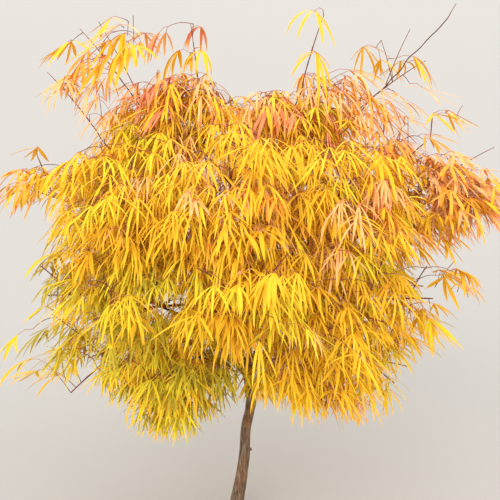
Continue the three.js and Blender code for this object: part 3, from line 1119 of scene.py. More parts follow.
class LeafMaker:
    """Turns a list of leaves into lobes, all at once."""

    def __init__(self, shape: LeafShape, random: Random) -> None:
        """Keeps the leaf's sizes and its stream of numbers."""
        self.shape = shape
        self.random = random

    def add_to(self, gathered: Gathered, leaves: LeafList) -> None:
        """Adds the lobes of every leaf of a list.

        Args:
            gathered: what they are added to.
            leaves: the list.
        """
        shape, random = self.shape, self.random
        count, lobes = len(leaves.hubs), len(shape.turns)

        def each(values: list | Array) -> Array:
            """A value of every leaf, repeated for its lobes."""
            return np.repeat(np.array(values), lobes, axis=0)

        def play(amount: float) -> Array:
            """A small change of its own for every lobe."""
            return random.normal(0, amount, count * lobes)

        fans = each(random.uniform(*shape.fans, count))
        sweeps = each(random.normal(0, shape.sweep_play, count))
        turns = np.tile(shape.turns, count) * fans + play(shape.turn_play)
        lengths = np.tile(shape.lengths, count) * (1 + play(shape.length_play))
        outer = np.abs(np.tile(shape.turns, count)) > shape.outer_turn
        broad = np.array(leaves.breadths) > shape.broad_from
        seven = random.random(count) < np.where(broad, shape.broad_outer_share, shape.outer_share)
        kept = ~outer | each(seven)
        rolls = each(random.normal(0, shape.roll_play, count))
        tipped = each(leaves.tilts) * np.cos(np.radians(turns)) + rolls * np.sin(np.radians(turns))
        first = shape.first_dip + tipped + play(shape.first_dip_play)
        last = np.clip(each(leaves.droops) + play(shape.last_dip_play), first, shape.steepest)
        bends = sweeps + play(shape.bend_play)
        twists = play(shape.twist_play)
        sizes = each(leaves.sizes)
        lengths = shape.lobe_length * sizes * lengths
        lines = self.lines(each(leaves.hubs), lengths, each(leaves.turns) + turns, bends, first, last)
        breadths = each(leaves.breadths) * np.sqrt(sizes)
        widths = np.array(shape.widths) * (shape.half_width * breadths)[:, None]
        widths = widths * (1 + play(shape.width_play))[:, None]
        points = self.blades(*lines, twists, widths)[kept]
        strip, zones = self.blade_faces()
        slots = each(leaves.tints)[kept][:, zones]
        gathered.add(points, repeated(strip, len(points), points.shape[1]), slots.ravel())

    def blades(self, paths: Array, normals: Array, sides: Array, twists: Array, widths: Array) -> Array:
        """The corners of folded blades: three at every ring and one at the tip.

        Args:
            paths: their middle lines.
            normals: their upper normals.
            sides: their side directions.
            twists: how far each is twisted by its tip.
            widths: half their width at every ring.

        Returns:
            The corners of every blade.
        """
        twist = np.radians(twists[:, None] * np.array(self.shape.rings))[..., None]
        across = (sides * np.cos(twist) + normals * np.sin(twist)) * widths[..., None]
        facing = normals * np.cos(twist) - sides * np.sin(twist)
        sunk = facing * widths[..., None] * self.shape.fold
        points = np.stack([paths + across, paths - sunk, paths - across], axis=2)[:, :-1]
        return np.concatenate([points.reshape(len(points), -1, 3), paths[:, -1:]], axis=1)

    def blade_faces(self) -> tuple[Array, Array]:
        """The faces of one blade.

        Returns:
            Its triangles, and for each whether it is by the hub (0), along the lobe (1) or at the tip (2).
        """
        rings = len(self.shape.rings) - 1
        tip = 3 * rings
        strip = grid_faces(rings, 3, False)
        strip = np.concatenate([strip, [[tip - 3, tip - 2, tip], [tip - 2, tip - 1, tip]]])
        return strip, np.searchsorted(3 * np.array(self.shape.tint_rings), strip.min(axis=1), side="right")

    def lines(
        self, hubs: Array, lengths: Array, azimuths: Array, bends: Array, first: Array, last: Array
    ) -> tuple[Array, Array, Array]:
        """The middle lines of lobes that leave their hub and hang more and more.

        Args:
            hubs: where each lobe starts.
            lengths: how long it is.
            azimuths: its direction, in degrees.
            bends: how far it turns aside by its tip.
            first: how far it dips at the hub.
            last: how far it dips at its tip.

        Returns:
            The points, upper normals and side directions at every ring.
        """
        rings = np.array(self.shape.rings)

        def frames(shares: Array) -> tuple[Array, Array, Array]:
            """The direction, normal and side of every lobe at some shares of its length.

            Args:
                shares: the shares.

            Returns:
                An array of vectors for each of the three.
            """
            turn = np.radians(azimuths[:, None] + bends[:, None] * shares)
            dip = np.radians(first[:, None] + (last - first)[:, None] * shares**self.shape.hang)
            level_x, level_y, zero = np.cos(turn), np.sin(turn), 0 * turn
            ahead = np.stack([level_x * np.cos(dip), level_y * np.cos(dip), -np.sin(dip)], axis=-1)
            normal = np.stack([level_x * np.sin(dip), level_y * np.sin(dip), np.cos(dip)], axis=-1)
            return ahead, normal, np.stack([-level_y, level_x, zero], axis=-1)

        ahead, _, _ = frames((rings[1:] + rings[:-1]) / 2)
        steps = np.diff(rings) * lengths[:, None]
        paths = np.cumsum(ahead * steps[..., None], axis=1) + hubs[:, None]
        _, normals, sides = frames(rings)
        return np.concatenate([hubs[:, None], paths], axis=1), normals, sides


@dataclass
class Spray:
    """What one group of masses carries: its wood, its leaf stalks and its leaves."""

    wood: Gathered = field(default_factory=Gathered)
    leaves: LeafList = field(default_factory=LeafList)


@dataclass(frozen=True)
class Fill:
    """How densely the emptiest places of a mass are filled with thin shoots."""

    shoots: int
    share: float = 0.7
    shift: Triple = (0, 0, 0)
    stem_end: float = 0.85
    open_from: float = 10000


FILLS = {
    "top_left": Fill(25, 0.72, (-10, 0, 25)),
    "top_right": Fill(25, 0.72, (20, 0, 25)),
    "left_shoulder": Fill(8, 0.5, (80, 0, -10), 0.3, 385),
    "right_shoulder": Fill(39, 0.85, (30, 0, 0), 0.95),
    "front_mid": Fill(29, 0.8, (0, 20, -15)),
    "back_right_mid": Fill(20),
    "back_left_mid": Fill(20),
    "left_mid": Fill(14, 0.62, (10, 0, 0), 0.75),
    "right_mid": Fill(12, 0.5, (-20, 0, 0), 0.6),
    "front_left_upper": Fill(32, 0.8, (-35, -45, -25)),
    "front_upper": Fill(36, 0.85, (0, -55, -30)),
    "front_right_upper": Fill(32, 0.8, (35, -45, -25)),
    "back_left_upper": Fill(20),
    "back_right_upper": Fill(20),
    "front_left_mid": Fill(29, 0.8),
    "front_right_mid": Fill(29, 0.8),
    "left_low": Fill(7, 0.6, (30, 0, 0), 0.6),
    "low_left_front": Fill(42, 0.95, (20, -20, -25)),
    "low_right_front": Fill(36, 0.95, (0, -20, -20)),
    "right_low": Fill(9, 0.55, (-20, 0, 0), 0.6),
    "back_low": Fill(20, 0.8),
}


@dataclass(frozen=True)
class LoneSpray:
    """A spray that stands out of the crown: its place, how many leaves it has and how far they droop."""

    x: float
    y: float
    z: float
    leaves: int
    droop: float = 62

    @property
    def place(self) -> Array:
        """Its place as a point."""
        return np.array([self.x, self.y, self.z], float)


LONE_SPRAYS: dict[str, tuple[tuple[float, ...], ...]] = {
    "upper_left_spray": (
        (-263, -20, 1278, 1, 36), (-239, -60, 1254, 1, 36), (-230, -40, 1215, 2), (-380, -10, 1200, 2, 44),
        (-316, -50, 1173, 3), (-292, 10, 1150, 1), (-217, -30, 1188, 1),
    ),
    "upper_left_outer": (
        (-331, 0, 1074, 2), (-390, -30, 1127, 1), (-295, -60, 1130, 2), (-265, 20, 1090, 3),
        (-358, 40, 1138, 1), (-359, -40, 1163, 2),
    ),
    "top_spray": (
        (-89, 0, 1249, 1, 72), (-68, -30, 1210, 2, 72), (-111, 30, 1193, 1, 72),
    ),
    "top_left": (
        (-173, -10, 1174, 1), (-205, 0, 1137, 3), (-141, -50, 1155, 3), (-108, -20, 1135, 3),
        (-71, 30, 1125, 2), (-125, -20, 1166, 2), (-89, -40, 1159, 3), (-181, -60, 1108, 3),
        (-22, -60, 1082, 3), (-1, -20, 1063, 3),
    ),
    "top_twig": (
        (190, -100, 1303, 1, 80), (173, -60, 1195, 1, 72),
    ),
    "top_right": (
        (232, 0, 1168, 1, 72), (256, -30, 1162, 2), (151, -40, 1128, 3), (287, 20, 1135, 3),
        (95, 0, 1124, 2), (76, -40, 1119, 2), (198, -60, 1139, 3), (119, -80, 1111, 3), (31, -40, 1066, 3),
    ),
    "upper_right_spray": (
        (312, 0, 1188, 2), (404, -20, 1207, 1, 50), (381, -10, 1182, 1, 50), (362, -50, 1112, 2),
        (324, 0, 1079, 3), (340, -20, 1250, 1, 30), (287, -60, 1113, 3), (412, -20, 1113, 1, 24),
    ),
    "upper_right_outer": (
        (455, -30, 1083, 2, 28), (458, 0, 1080, 1, 24), (406, 20, 1067, 2, 44), (333, -40, 1048, 3),
        (297, -70, 1070, 3), (362, -30, 1033, 2),
    ),
    "left_shoulder": (
        (-459, 0, 989, 1), (-395, -40, 952, 1), (-496, 0, 884, 1, 58), (-430, 30, 861, 2),
        (-365, -60, 919, 1), (-446, -30, 913, 1),
    ),
    "left_mid": (
        (-396, -30, 743, 2, 46), (-420, 0, 694, 1, 46), (-375, -20, 805, 1),
    ),
    "left_low": (
        (-509, 0, 479, 1), (-465, -30, 444, 2), (-420, 20, 443, 1), (-424, -20, 562, 2, 50),
        (-494, 30, 438, 1),
    ),
    "right_shoulder": (
        (572, 0, 949, 2, 44), (585, -50, 912, 3, 44), (564, 20, 878, 3, 48), (512, -30, 941, 3, 44),
        (481, -10, 956, 2, 40), (590, 0, 838, 2, 48), (536, -30, 831, 3, 52),
    ),
    "right_lone": (
        (508, 20, 684, 1, 34), (524, 40, 664, 1, 40),
    ),
    "right_mid": (
        (421, -20, 750, 2, 44), (407, 20, 693, 2, 50),
    ),
    "right_low": (
        (419, -40, 626, 3, 50), (453, 20, 562, 2, 50), (400, -60, 557, 3),
    ),
    "low_left_front": (
        (-85, -330, 572, 3), (-35, -300, 544, 3), (-142, -300, 530, 3), (-4, -250, 530, 3),
        (-237, -200, 482, 3), (-194, -220, 462, 3),
    ),
    "low_right_front": (
        (211, -300, 535, 3), (146, -300, 563, 3), (274, -230, 506, 3), (292, -220, 467, 2),
        (97, -260, 530, 3),
    ),
}


@dataclass(frozen=True)
class OpenPlace:
    """Where the photograph shows nothing of the crown, on the upright plane through the trunk."""

    left: float
    right: float
    low: float
    high: float


OPEN_PLACES = tuple(
    OpenPlace(*row)
    for row in (
        (-616, -448, 1001, 1391), (-636, -524, 911, 1001), (-434, -364, 954, 1005), (-363, -336, 977, 1010),
        (-440, -347, 1225, 1391), (-240, -133, 1243, 1391), (-58, 140, 1243, 1391), (-41, 67, 1146, 1243),
        (-24, 58, 1110, 1146), (240, 321, 1212, 1391), (400, 729, 1225, 1391), (469, 740, 1106, 1225),
        (583, 754, 972, 1106), (504, 588, 972, 996), (407, 472, 972, 996), (570, 787, 699, 759),
        (559, 822, 98, 588), (12, 52, 290, 400), (450, 499, 601, 673), (541, 597, 98, 543),
        (484, 575, 98, 452), (429, 527, 98, 386), (391, 427, 98, 285), (40, 169, 98, 296),
        (169, 391, 98, 250), (-89, 4, 98, 245), (-323, -90, 98, 198), (-415, -348, 98, 424),
        (-351, -259, 98, 302), (-757, -418, 98, 324), (-702, -449, 739, 799), (-708, -496, 694, 739),
        (-718, -473, 585, 663), (-724, -551, 554, 585),
    )
)


@dataclass(frozen=True)
class Onlooker:
    """The place that the photograph was taken from, in millimetres."""

    eye: Triple = (40, -1958, 1328)

    def sees_open(self, points: Array) -> bool:
        """Whether any of some points would stand in an open place, seen from here.

        Args:
            points: the points.

        Returns:
            True or False.
        """
        eye = np.array(self.eye)
        on_plane = eye + (points - eye) * (-eye[1] / (points[:, 1:2] - eye[1]))
        x, z = on_plane[:, 0], on_plane[:, 2]
        return any(((x > o.left) & (x < o.right) & (z > o.low) & (z < o.high)).any() for o in OPEN_PLACES)


@dataclass(frozen=True)
class Room:
    """The upright box that all leaves keep to, in millimetres."""

    low: Array
    high: Array

    def holds(self, lowest: Array, others: list[Array]) -> bool:
        """Whether a lowest point and some others are in it."""
        return not ((lowest < self.low).any() or (np.array(others) > self.high).any())


class Dresser:
    """Dresses the stems, twigs and stars of the rule with real shoots and leaves."""

    TWIG_SLOT = 0
    STALK_SLOT = 1

    def __init__(
        self, shape: ShootShape, stalk: StalkShape, boughs: dict[str, Array], room: Room, random: Random
    ) -> None:
        """Keeps the sizes and the room.

        Args:
            shape: the sizes of the shoots.
            stalk: the sizes of the leaf stalks.
            boughs: the middle line of the bough of each mass.
            room: the box that leaves keep to.
            random: its stream of numbers.
        """
        self.shape = shape
        self.stalk = stalk
        self.boughs = boughs
        self.room = room
        self.random = random
        self.onlooker = Onlooker()
        self.droop = LeafShape.last_dip

    def pick(self, palette: Palette) -> Tint:
        """One tint, by its share."""
        weights = np.array(list(palette.values()))
        return list(palette)[self.random.choice(len(weights), p=weights / weights.sum())]

    def tint_numbers(self, palette: Palette) -> tuple[int, int, int]:
        """One tint for the hubs, one for the lobes and one for the tips of a spray.

        Args:
            palette: the tints of its mass.

        Returns:
            Their numbers.
        """
        body = self.pick(palette)
        hub, tip = self.pick(BLENDS[body].hub), self.pick(BLENDS[body].tip)
        tints = list(Tint)
        return (tints.index(hub), tints.index(body), tints.index(tip))

    def breadth(self, node: Array) -> float:
        """How broad a leaf is, as a share of a narrow one. Some leaves, above all open ones, are broader.

        Args:
            node: where its stalk starts.

        Returns:
            The breadth.
        """
        stalk, random = self.stalk, self.random
        out = max(abs(node[0]) / stalk.open_reach, node[2] / stalk.open_height)
        bold = 1 if random.random() < stalk.bold_share else min(max(stalk.open_rise * (out - 1), 0), 1)
        return random.uniform(*stalk.breadths) * (1 + stalk.open_breadth * bold)

    def leaf(
        self, spray: Spray, node: Array, turn: float, slope: float, size: float, tints: tuple[int, int, int]
    ) -> None:
        """Grows one leaf on its stalk, if it stays in the room and out of the open places.

        Args:
            spray: what it is added to.
            node: where the stalk starts.
            turn: the direction of the stalk, in degrees.
            slope: how steeply the stalk rises.
            size: its size, as a share of a full leaf.
            tints: its tint numbers.
        """
        stalk, random = self.stalk, self.random
        breadth = self.breadth(node)
        hub = node + unit(level_aim(turn) + UP * slope) * stalk.length * size * random.uniform(*stalk.lengths)
        outward = math.degrees(math.atan2(hub[1], hub[0]))
        lean = (outward - turn + 180) % 360 - 180
        turn = turn + stalk.outward_lean * lean + random.normal(0, stalk.leaf_turn_play)
        length = LeafShape.lobe_length * size
        flat = self.droop < stalk.flat_droop
        reach = level_aim(turn) * length * (stalk.reach + stalk.flat_reach * flat)
        lowest = hub + reach - UP * length * (stalk.drop - stalk.flat_drop * flat)
        if not self.room.holds(lowest, [hub, hub + reach]):
            return
        middle = hub + stalk.middle_reach * reach - UP * stalk.middle_drop * length
        if self.onlooker.sees_open(np.array([hub, middle, lowest])):
            return
        path = bowed(node, hub, stalk.bow, stalk.steps)
        radii = np.linspace(*stalk.taper, stalk.steps + 1) * stalk.radius
        points, faces = tubes(path[None], radii[None], stalk.sides)
        spray.wood.add(points, faces, self.STALK_SLOT)
        aside = min(max((abs(hub[0]) - stalk.side_from) / stalk.side_width, 0), 1)
        droop = min(self.droop, LeafShape.last_dip - stalk.side_lift * aside)
        droop = random.normal(droop, LeafShape.droop_play)
        tilt = random.uniform(*stalk.tilts)
        spray.leaves.add(hub, tints, turn=turn, size=size, breadth=breadth, tilt=tilt, droop=droop)

    def shoot(
        self, spray: Spray, path: Array, palette: Palette, size: float, nodes: tuple[float, ...]
    ) -> bool:
        """Grows one shoot with pairs of leaves at its nodes and one at its end, if any of them finds room.

        Args:
            spray: what it is added to.
            path: its points.
            palette: the tints of its mass.
            size: the size of its leaves.
            nodes: the shares of its length where pairs sit.

        Returns:
            Whether it has grown.
        """
        shape, stalk, random = self.shape, self.stalk, self.random
        before = len(spray.leaves.hubs)
        tints = self.tint_numbers(palette)
        ahead = path[-1] - path[0]
        turn = math.degrees(math.atan2(ahead[1], ahead[0]))
        for share in nodes:
            place = share * (len(path) - 1)
            index = min(int(place), len(path) - 2)
            node = path[index] + (path[index + 1] - path[index]) * (place - index)
            for side in (1, -1):
                if random.random() < shape.new_tint_share:
                    tints = self.tint_numbers(palette)
                aside = side * stalk.turn * random.uniform(*stalk.turn_shares)
                slope = random.uniform(*stalk.slopes)
                self.leaf(spray, node, turn + aside, slope, size * random.uniform(*shape.pair_sizes), tints)
        last_size = size * random.uniform(*(shape.end_sizes if nodes else shape.only_sizes))
        end_turn = turn + random.normal(0, stalk.end_turn_play)
        self.leaf(spray, path[-1], end_turn, random.uniform(*stalk.end_slopes), last_size, tints)
        if len(spray.leaves.hubs) == before:
            return False
        radii = np.linspace(shape.radius, shape.tip_radius, len(path))
        points, faces = tubes(path[None], radii[None], shape.sides)
        spray.wood.add(points, faces, self.TWIG_SLOT)
        return True

    def star(self, spray: Spray, star: Star, palette: Palette, sparse: bool) -> None:
        """Grows the shoot that stands for one star of the rule.

        Args:
            spray: what it is added to.
            star: the star.
            palette: the tints of its mass.
            sparse: whether it has few leaves, as out in the open.
        """
        shape, scale = self.shape, float(star.scale)
        length = shape.length * (shape.length_shares[0] + shape.length_shares[1] * scale)
        end = star.root + star.aim * length - UP * shape.sag * length
        path = bowed(star.root, end, shape.rise, shape.rings)
        nodes = shape.nodes if star.scale > shape.full_scale else shape.nodes[1:]
        if sparse and self.random.random() > shape.bare_share:
            return
        if sparse or math.hypot(star.hub[0], star.hub[1]) > shape.open_reach:
            nodes = shape.nodes[2:] if self.random.random() < shape.open_pair_share else ()
        self.shoot(spray, path, palette, shape.sizes[0] + shape.sizes[1] * scale, nodes)

    def spurs(self, spray: Spray, start: Array, end: Array, count: int, palette: Palette) -> None:
        """Grows short shoots in pairs along a stretch of stem or twig.

        Args:
            spray: what they are added to.
            start: where the stretch starts.
            end: where it ends.
            count: how many pairs there are.
            palette: the tints of their mass.
        """
        shape, random = self.shape, self.random
        ahead = level(end - start)
        for i in range(count):
            node = start + (end - start) * (i + random.uniform(*shape.spur_places)) / count
            for side in (1, -1):
                turn = side * random.uniform(*shape.spur_turns)
                aim = unit(turned(ahead, turn) + UP * random.uniform(*shape.spur_slopes))
                tip = node + aim * shape.spur * random.uniform(*shape.spur_lengths)
                path = bowed(node, tip, shape.spur_bow, shape.spur_steps)
                self.shoot(spray, path, palette, random.uniform(*shape.spur_sizes), shape.spur_nodes)

    def mass(self, spray: Spray, growth: Growth, space: Space) -> None:
        """Dresses one mass.

        Args:
            spray: the group it is added to.
            growth: what the rule has grown in it.
            space: its room.
        """
        shape, name = self.shape, growth.plan.name
        palette = palette_of(growth.plan)
        fill = FILLS.get(name)
        self.stem(spray, growth, fill)
        for start, end in growth.twigs:
            path = bowed(start, end, shape.twig_bow, shape.twig_steps)
            if self.onlooker.sees_open(path[-1:]):
                path = path[: shape.cut_twig_points]
            radii = np.linspace(*shape.twig_radii, len(path)) * (1 if fill else shape.open_twig_share)
            self.wood(spray, path, radii, shape.twig_sides)
            if fill:
                self.spurs(spray, path[1], path[-1], 1, palette)
        for star in growth.stars:
            self.star(spray, star, palette, fill is None or abs(star.hub[0]) > fill.open_from)
        if fill:
            first, last = growth.stem.point(shape.stem_spur_start), growth.stem.point(fill.stem_end)
            self.spurs(spray, first, last, shape.stem_spurs, palette)
            self.fill(spray, growth, space, palette)
        for row in LONE_SPRAYS.get(name, ()):
            self.lone(spray, growth, LoneSpray(*row), palette)

    def stem(self, spray: Spray, growth: Growth, fill: Fill | None) -> None:
        """Adds the stem of a mass. One out in the open is thin and ends where an open place starts.

        Args:
            spray: what it is added to.
            growth: what the rule has grown in the mass.
            fill: how densely the mass is filled, or None out in the open.
        """
        shape = self.shape
        stem = growth.stem.sampled(shape.stem_steps)
        share = np.linspace(0, 1, len(stem))
        root, taper = shape.stem_radii if fill else shape.open_stem_radii
        if fill is None:
            seen = [not self.onlooker.sees_open(point[None]) for point in stem]
            kept = max(seen.index(False), 3) if False in seen else len(stem)
            stem, share = stem[:kept], share[:kept]
        self.wood(spray, stem, root - taper * share, shape.stem_sides)

    def wood_points(self, growth: Growth) -> Array:
        """Points along the bough's outer half, stem and twigs of a mass, where more may grow.

        Args:
            growth: what the rule has grown in the mass.

        Returns:
            The points.
        """
        shape, bough = self.shape, self.boughs[growth.plan.name]
        lines = [growth.stem.sampled(shape.stem_steps), bough[len(bough) // 2 :]]
        lines.extend(bowed(start, end, shape.twig_bow, shape.twig_steps) for start, end in growth.twigs)
        return np.concatenate(lines)

    def lone(self, spray: Spray, growth: Growth, lone: LoneSpray, palette: Palette) -> None:
        """Grows one lone spray from the nearest wood of its mass. High ones have turned redder.

        Args:
            spray: the group it is added to.
            growth: what the rule has grown in its mass.
            lone: the spray.
            palette: the tints of its mass.
        """
        shape, place = self.shape, lone.place
        wood = self.wood_points(growth)
        beyond = np.maximum(np.linalg.norm(wood[:, :2], axis=1) - np.linalg.norm(place[:2]), 0)
        start = wood[int(np.argmin(np.linalg.norm(wood - place, axis=1) + shape.lone_outward * beyond))]
        apart = np.linalg.norm(place - start)
        end = place - unit(place - start) * min(shape.lone_stalk, apart / 2)
        path = bowed(start, end, shape.lone_rise, shape.lone_steps)
        pairs = min(lone.leaves - 1, 2)
        nodes = (shape.lone_node - shape.lone_node_step, shape.lone_node)[2 - pairs :]
        if place[2] > shape.lone_red_height:
            palette = PALETTES["salmon"]
        self.droop = lone.droop
        self.shoot(spray, path, palette, self.random.uniform(*shape.lone_sizes), nodes)
        self.droop = LeafShape.last_dip

    def fill(self, spray: Spray, growth: Growth, space: Space, palette: Palette) -> None:
        """Grows thin shoots to the emptiest places left in a mass, each from the wood nearest to it.

        Args:
            spray: the group they are added to.
            growth: what the rule has grown in the mass.
            space: the mass's room.
            palette: its tints.
        """
        shape, random, plan = self.shape, self.random, growth.plan
        fill = FILLS[plan.name]
        nodes = self.wood_points(growth)
        taken = [star.hub for star in growth.stars]
        for _ in range(fill.shoots):
            ball = unit(random.normal(size=(shape.fill_tried, 3)))
            ball = ball * random.random((shape.fill_tried, 1)) ** (1 / 3)
            places = ball * np.array([1, 1, shape.fill_flatness]) * plan.radius * fill.share
            places = places + plan.middle + np.array(fill.shift)
            places = places[space.holds(places, shape.fill_slack)]
            if len(places) == 0:
                continue
            rooms = np.linalg.norm(places[:, None] - np.array(taken)[None], axis=-1).min(axis=1)
            place = places[int(np.argmax(rooms))]
            reach = np.linalg.norm(nodes - place, axis=1)
            start = nodes[int(np.argmin(reach + shape.fill_climb * np.maximum(nodes[:, 2] - place[2], 0)))]
            if np.linalg.norm(place - start) < shape.fill_shortest:
                continue
            path = bowed(start, place, shape.fill_rise, shape.fill_steps)
            taken.append(place)
            if self.shoot(spray, path, palette, random.uniform(*shape.fill_sizes), shape.nodes[1:]):
                nodes = np.concatenate([nodes, path[2:]])

    def wood(self, spray: Spray, path: Array, radii: Array, sides: int) -> None:
        """Adds one length of twig wood, with a few swollen nodes.

        Args:
            spray: what it is added to.
            path: its points.
            radii: the radius at each.
            sides: how many sides it has.
        """
        swell = 1 + self.shape.swell * (self.random.random(len(radii)) < self.shape.swell_share)
        points, faces = tubes(path[None], (radii * swell)[None], sides)
        spray.wood.add(points, faces, self.TWIG_SLOT)


# Trunk and boughs


@dataclass(frozen=True)
class BarkWave:
    """One scale of the bark's relief: how finely it repeats round the trunk and along it, and its shift."""

    around: float
    along: float
    shift: float = 0

    def at(self, height: float, x: float, y: float) -> float:
        """Its value at a height and in a level direction, mostly from -0.5 to 0.5."""
        return noise.noise(Vector((x * self.around, y * self.around, height * self.along + self.shift)))


@dataclass(frozen=True)
class BarkShape:
    """The named sizes of the relief on the trunk, of its rounded top and of its cut spur, in millimetres."""

    ring_step: float = 2.2
    sides: int = 72
    strips: BarkWave = BarkWave(3.4, 0.011)
    plates: BarkWave = BarkWave(7.5, 0.045, 7)
    lumps: BarkWave = BarkWave(1.1, 0.016, 31)
    strip_power: float = 0.6
    strip_depth: float = 1.1
    plate_depth: float = 0.4
    middle_depth: float = 0.45
    fissure: float = 0.7
    lump: float = 1.1
    fullness: float = 0.5
    dome_rings: int = 4
    dome_steps: float = 4.2
    dome_height: float = 6
    curve_steps: int = 100
    spur_height: float = 187
    spur_aim: Triple = (0.9, -0.25, 0.22)
    spur_length: float = 19.5
    spur_bow: float = 0.04
    spur_radius: float = 4.2
    spur_profile: tuple[float, ...] = (1.9, 1.9, 1.8, 1.6, 1.35, 1.0, 0.55)
    spur_sides: int = 14


@dataclass(frozen=True)
class BoughShape:
    """The named sizes of the boughs' taper, bends, nodes, collars and bark, in millimetres."""

    step: float = 5
    fewest_steps: int = 12
    length_steps: int = 60
    sides: int = 12
    tip: float = 3.0
    slim_tip: float = 1.2
    taper_power: float = 0.8
    node_step: float = 44
    node_rise: float = 0.16
    node_width: float = 0.07
    collar: float = 0.45
    collar_run: float = 9
    widest_carrier: float = 12
    waves: tuple[Pair, ...] = ((150, 3.4), (62, 1.5))
    wave_flatness: float = 0.7
    wave_start: float = 6
    bump: float = 0.16
    coarse_grain: float = 0.11
    fine_grain: float = 0.33
    fine_share: float = 0.5


SLIM_BOUGHS = {
    "top_spray": 0.55,
    "top_twig": 0.3,
    "bare_twig": 0.36,
    "upper_left_spray": 0.6,
    "upper_left_outer": 0.6,
    "upper_right_spray": 0.6,
    "upper_right_outer": 0.6,
    "right_lone": 0.6,
}


class TrunkPiece:
    """The trunk with its fissured bark, old graft, root flare and one cut spur."""

    def __init__(self, trunk: Trunk, shape: BarkShape) -> None:
        """Keeps the trunk and its sizes."""
        self.trunk = trunk
        self.shape = shape

    def relief(self, height: float, angle: float) -> float:
        """How far the bark stands out from the smooth trunk at a height and an angle.

        Args:
            height: the height above ground.
            angle: the angle from the tree's right, in radians.

        Returns:
            The distance.
        """
        shape = self.shape
        x, y = math.cos(angle), math.sin(angle)
        strips, plates, lumps = (wave.at(height, x, y) for wave in (shape.strips, shape.plates, shape.lumps))
        fissure = -abs(strips) ** shape.strip_power * shape.strip_depth - shape.plate_depth * max(0.0, plates)
        return shape.fullness + shape.fissure * (fissure + shape.middle_depth) + shape.lump * lumps

    def build(self, material: Material) -> bpy.types.Object:
        """Builds the piece.

        Args:
            material: its bark.

        Returns:
            The piece, which replaces the trunk.
        """
        shape = self.shape
        curve = self.trunk.curve
        rings = int(curve.controls[-1, 2] / shape.ring_step)
        last = rings + shape.dome_rings
        angles = 2 * np.pi * np.arange(shape.sides) / shape.sides
        around = np.stack([np.cos(angles), np.sin(angles), 0 * angles], axis=-1)
        points = np.zeros((last + 1, shape.sides, 3))
        for i in range(rings + 1):
            middle = curve.point(i / rings)
            radii = self.trunk.around(middle[2], angles)
            radii = radii + np.array([self.relief(middle[2], angle) for angle in angles])
            points[i] = middle + around * radii[:, None]
        middle = curve.point(1.0)
        for i in range(1, shape.dome_rings + 1):
            dome = math.pi / 2 * i / shape.dome_steps
            ring = middle + (points[rings] - middle) * math.cos(dome)
            points[rings + i] = ring + UP * shape.dome_height * math.sin(dome)
        gathered = Gathered()
        gathered.add(points, grid_faces(last + 1, shape.sides, True))
        fan = np.array([[0, i, i + 1] for i in range(1, shape.sides - 1)])
        gathered.add(points[0], fan[:, ::-1])
        gathered.add(points[last], fan)
        self.add_spur(gathered)
        piece = gathered.piece("trunk_bark", [material])
        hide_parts("trunk")
        return piece

    def add_spur(self, gathered: Gathered) -> None:
        """Adds the cut spur on the trunk's right.

        Args:
            gathered: what it is added to.
        """
        shape = self.shape
        curve, steps = self.trunk.curve, shape.curve_steps
        share = np.interp(shape.spur_height, curve.sampled(steps)[:, 2], np.linspace(0, 1, steps + 1))
        start = curve.point(float(share))
        end = start + unit(np.array(shape.spur_aim)) * shape.spur_length
        path = bowed(start, end, shape.spur_bow, len(shape.spur_profile) - 1)
        radii = shape.spur_radius * np.array(shape.spur_profile)
        gathered.add(*tubes(path[None], radii[None], shape.spur_sides))


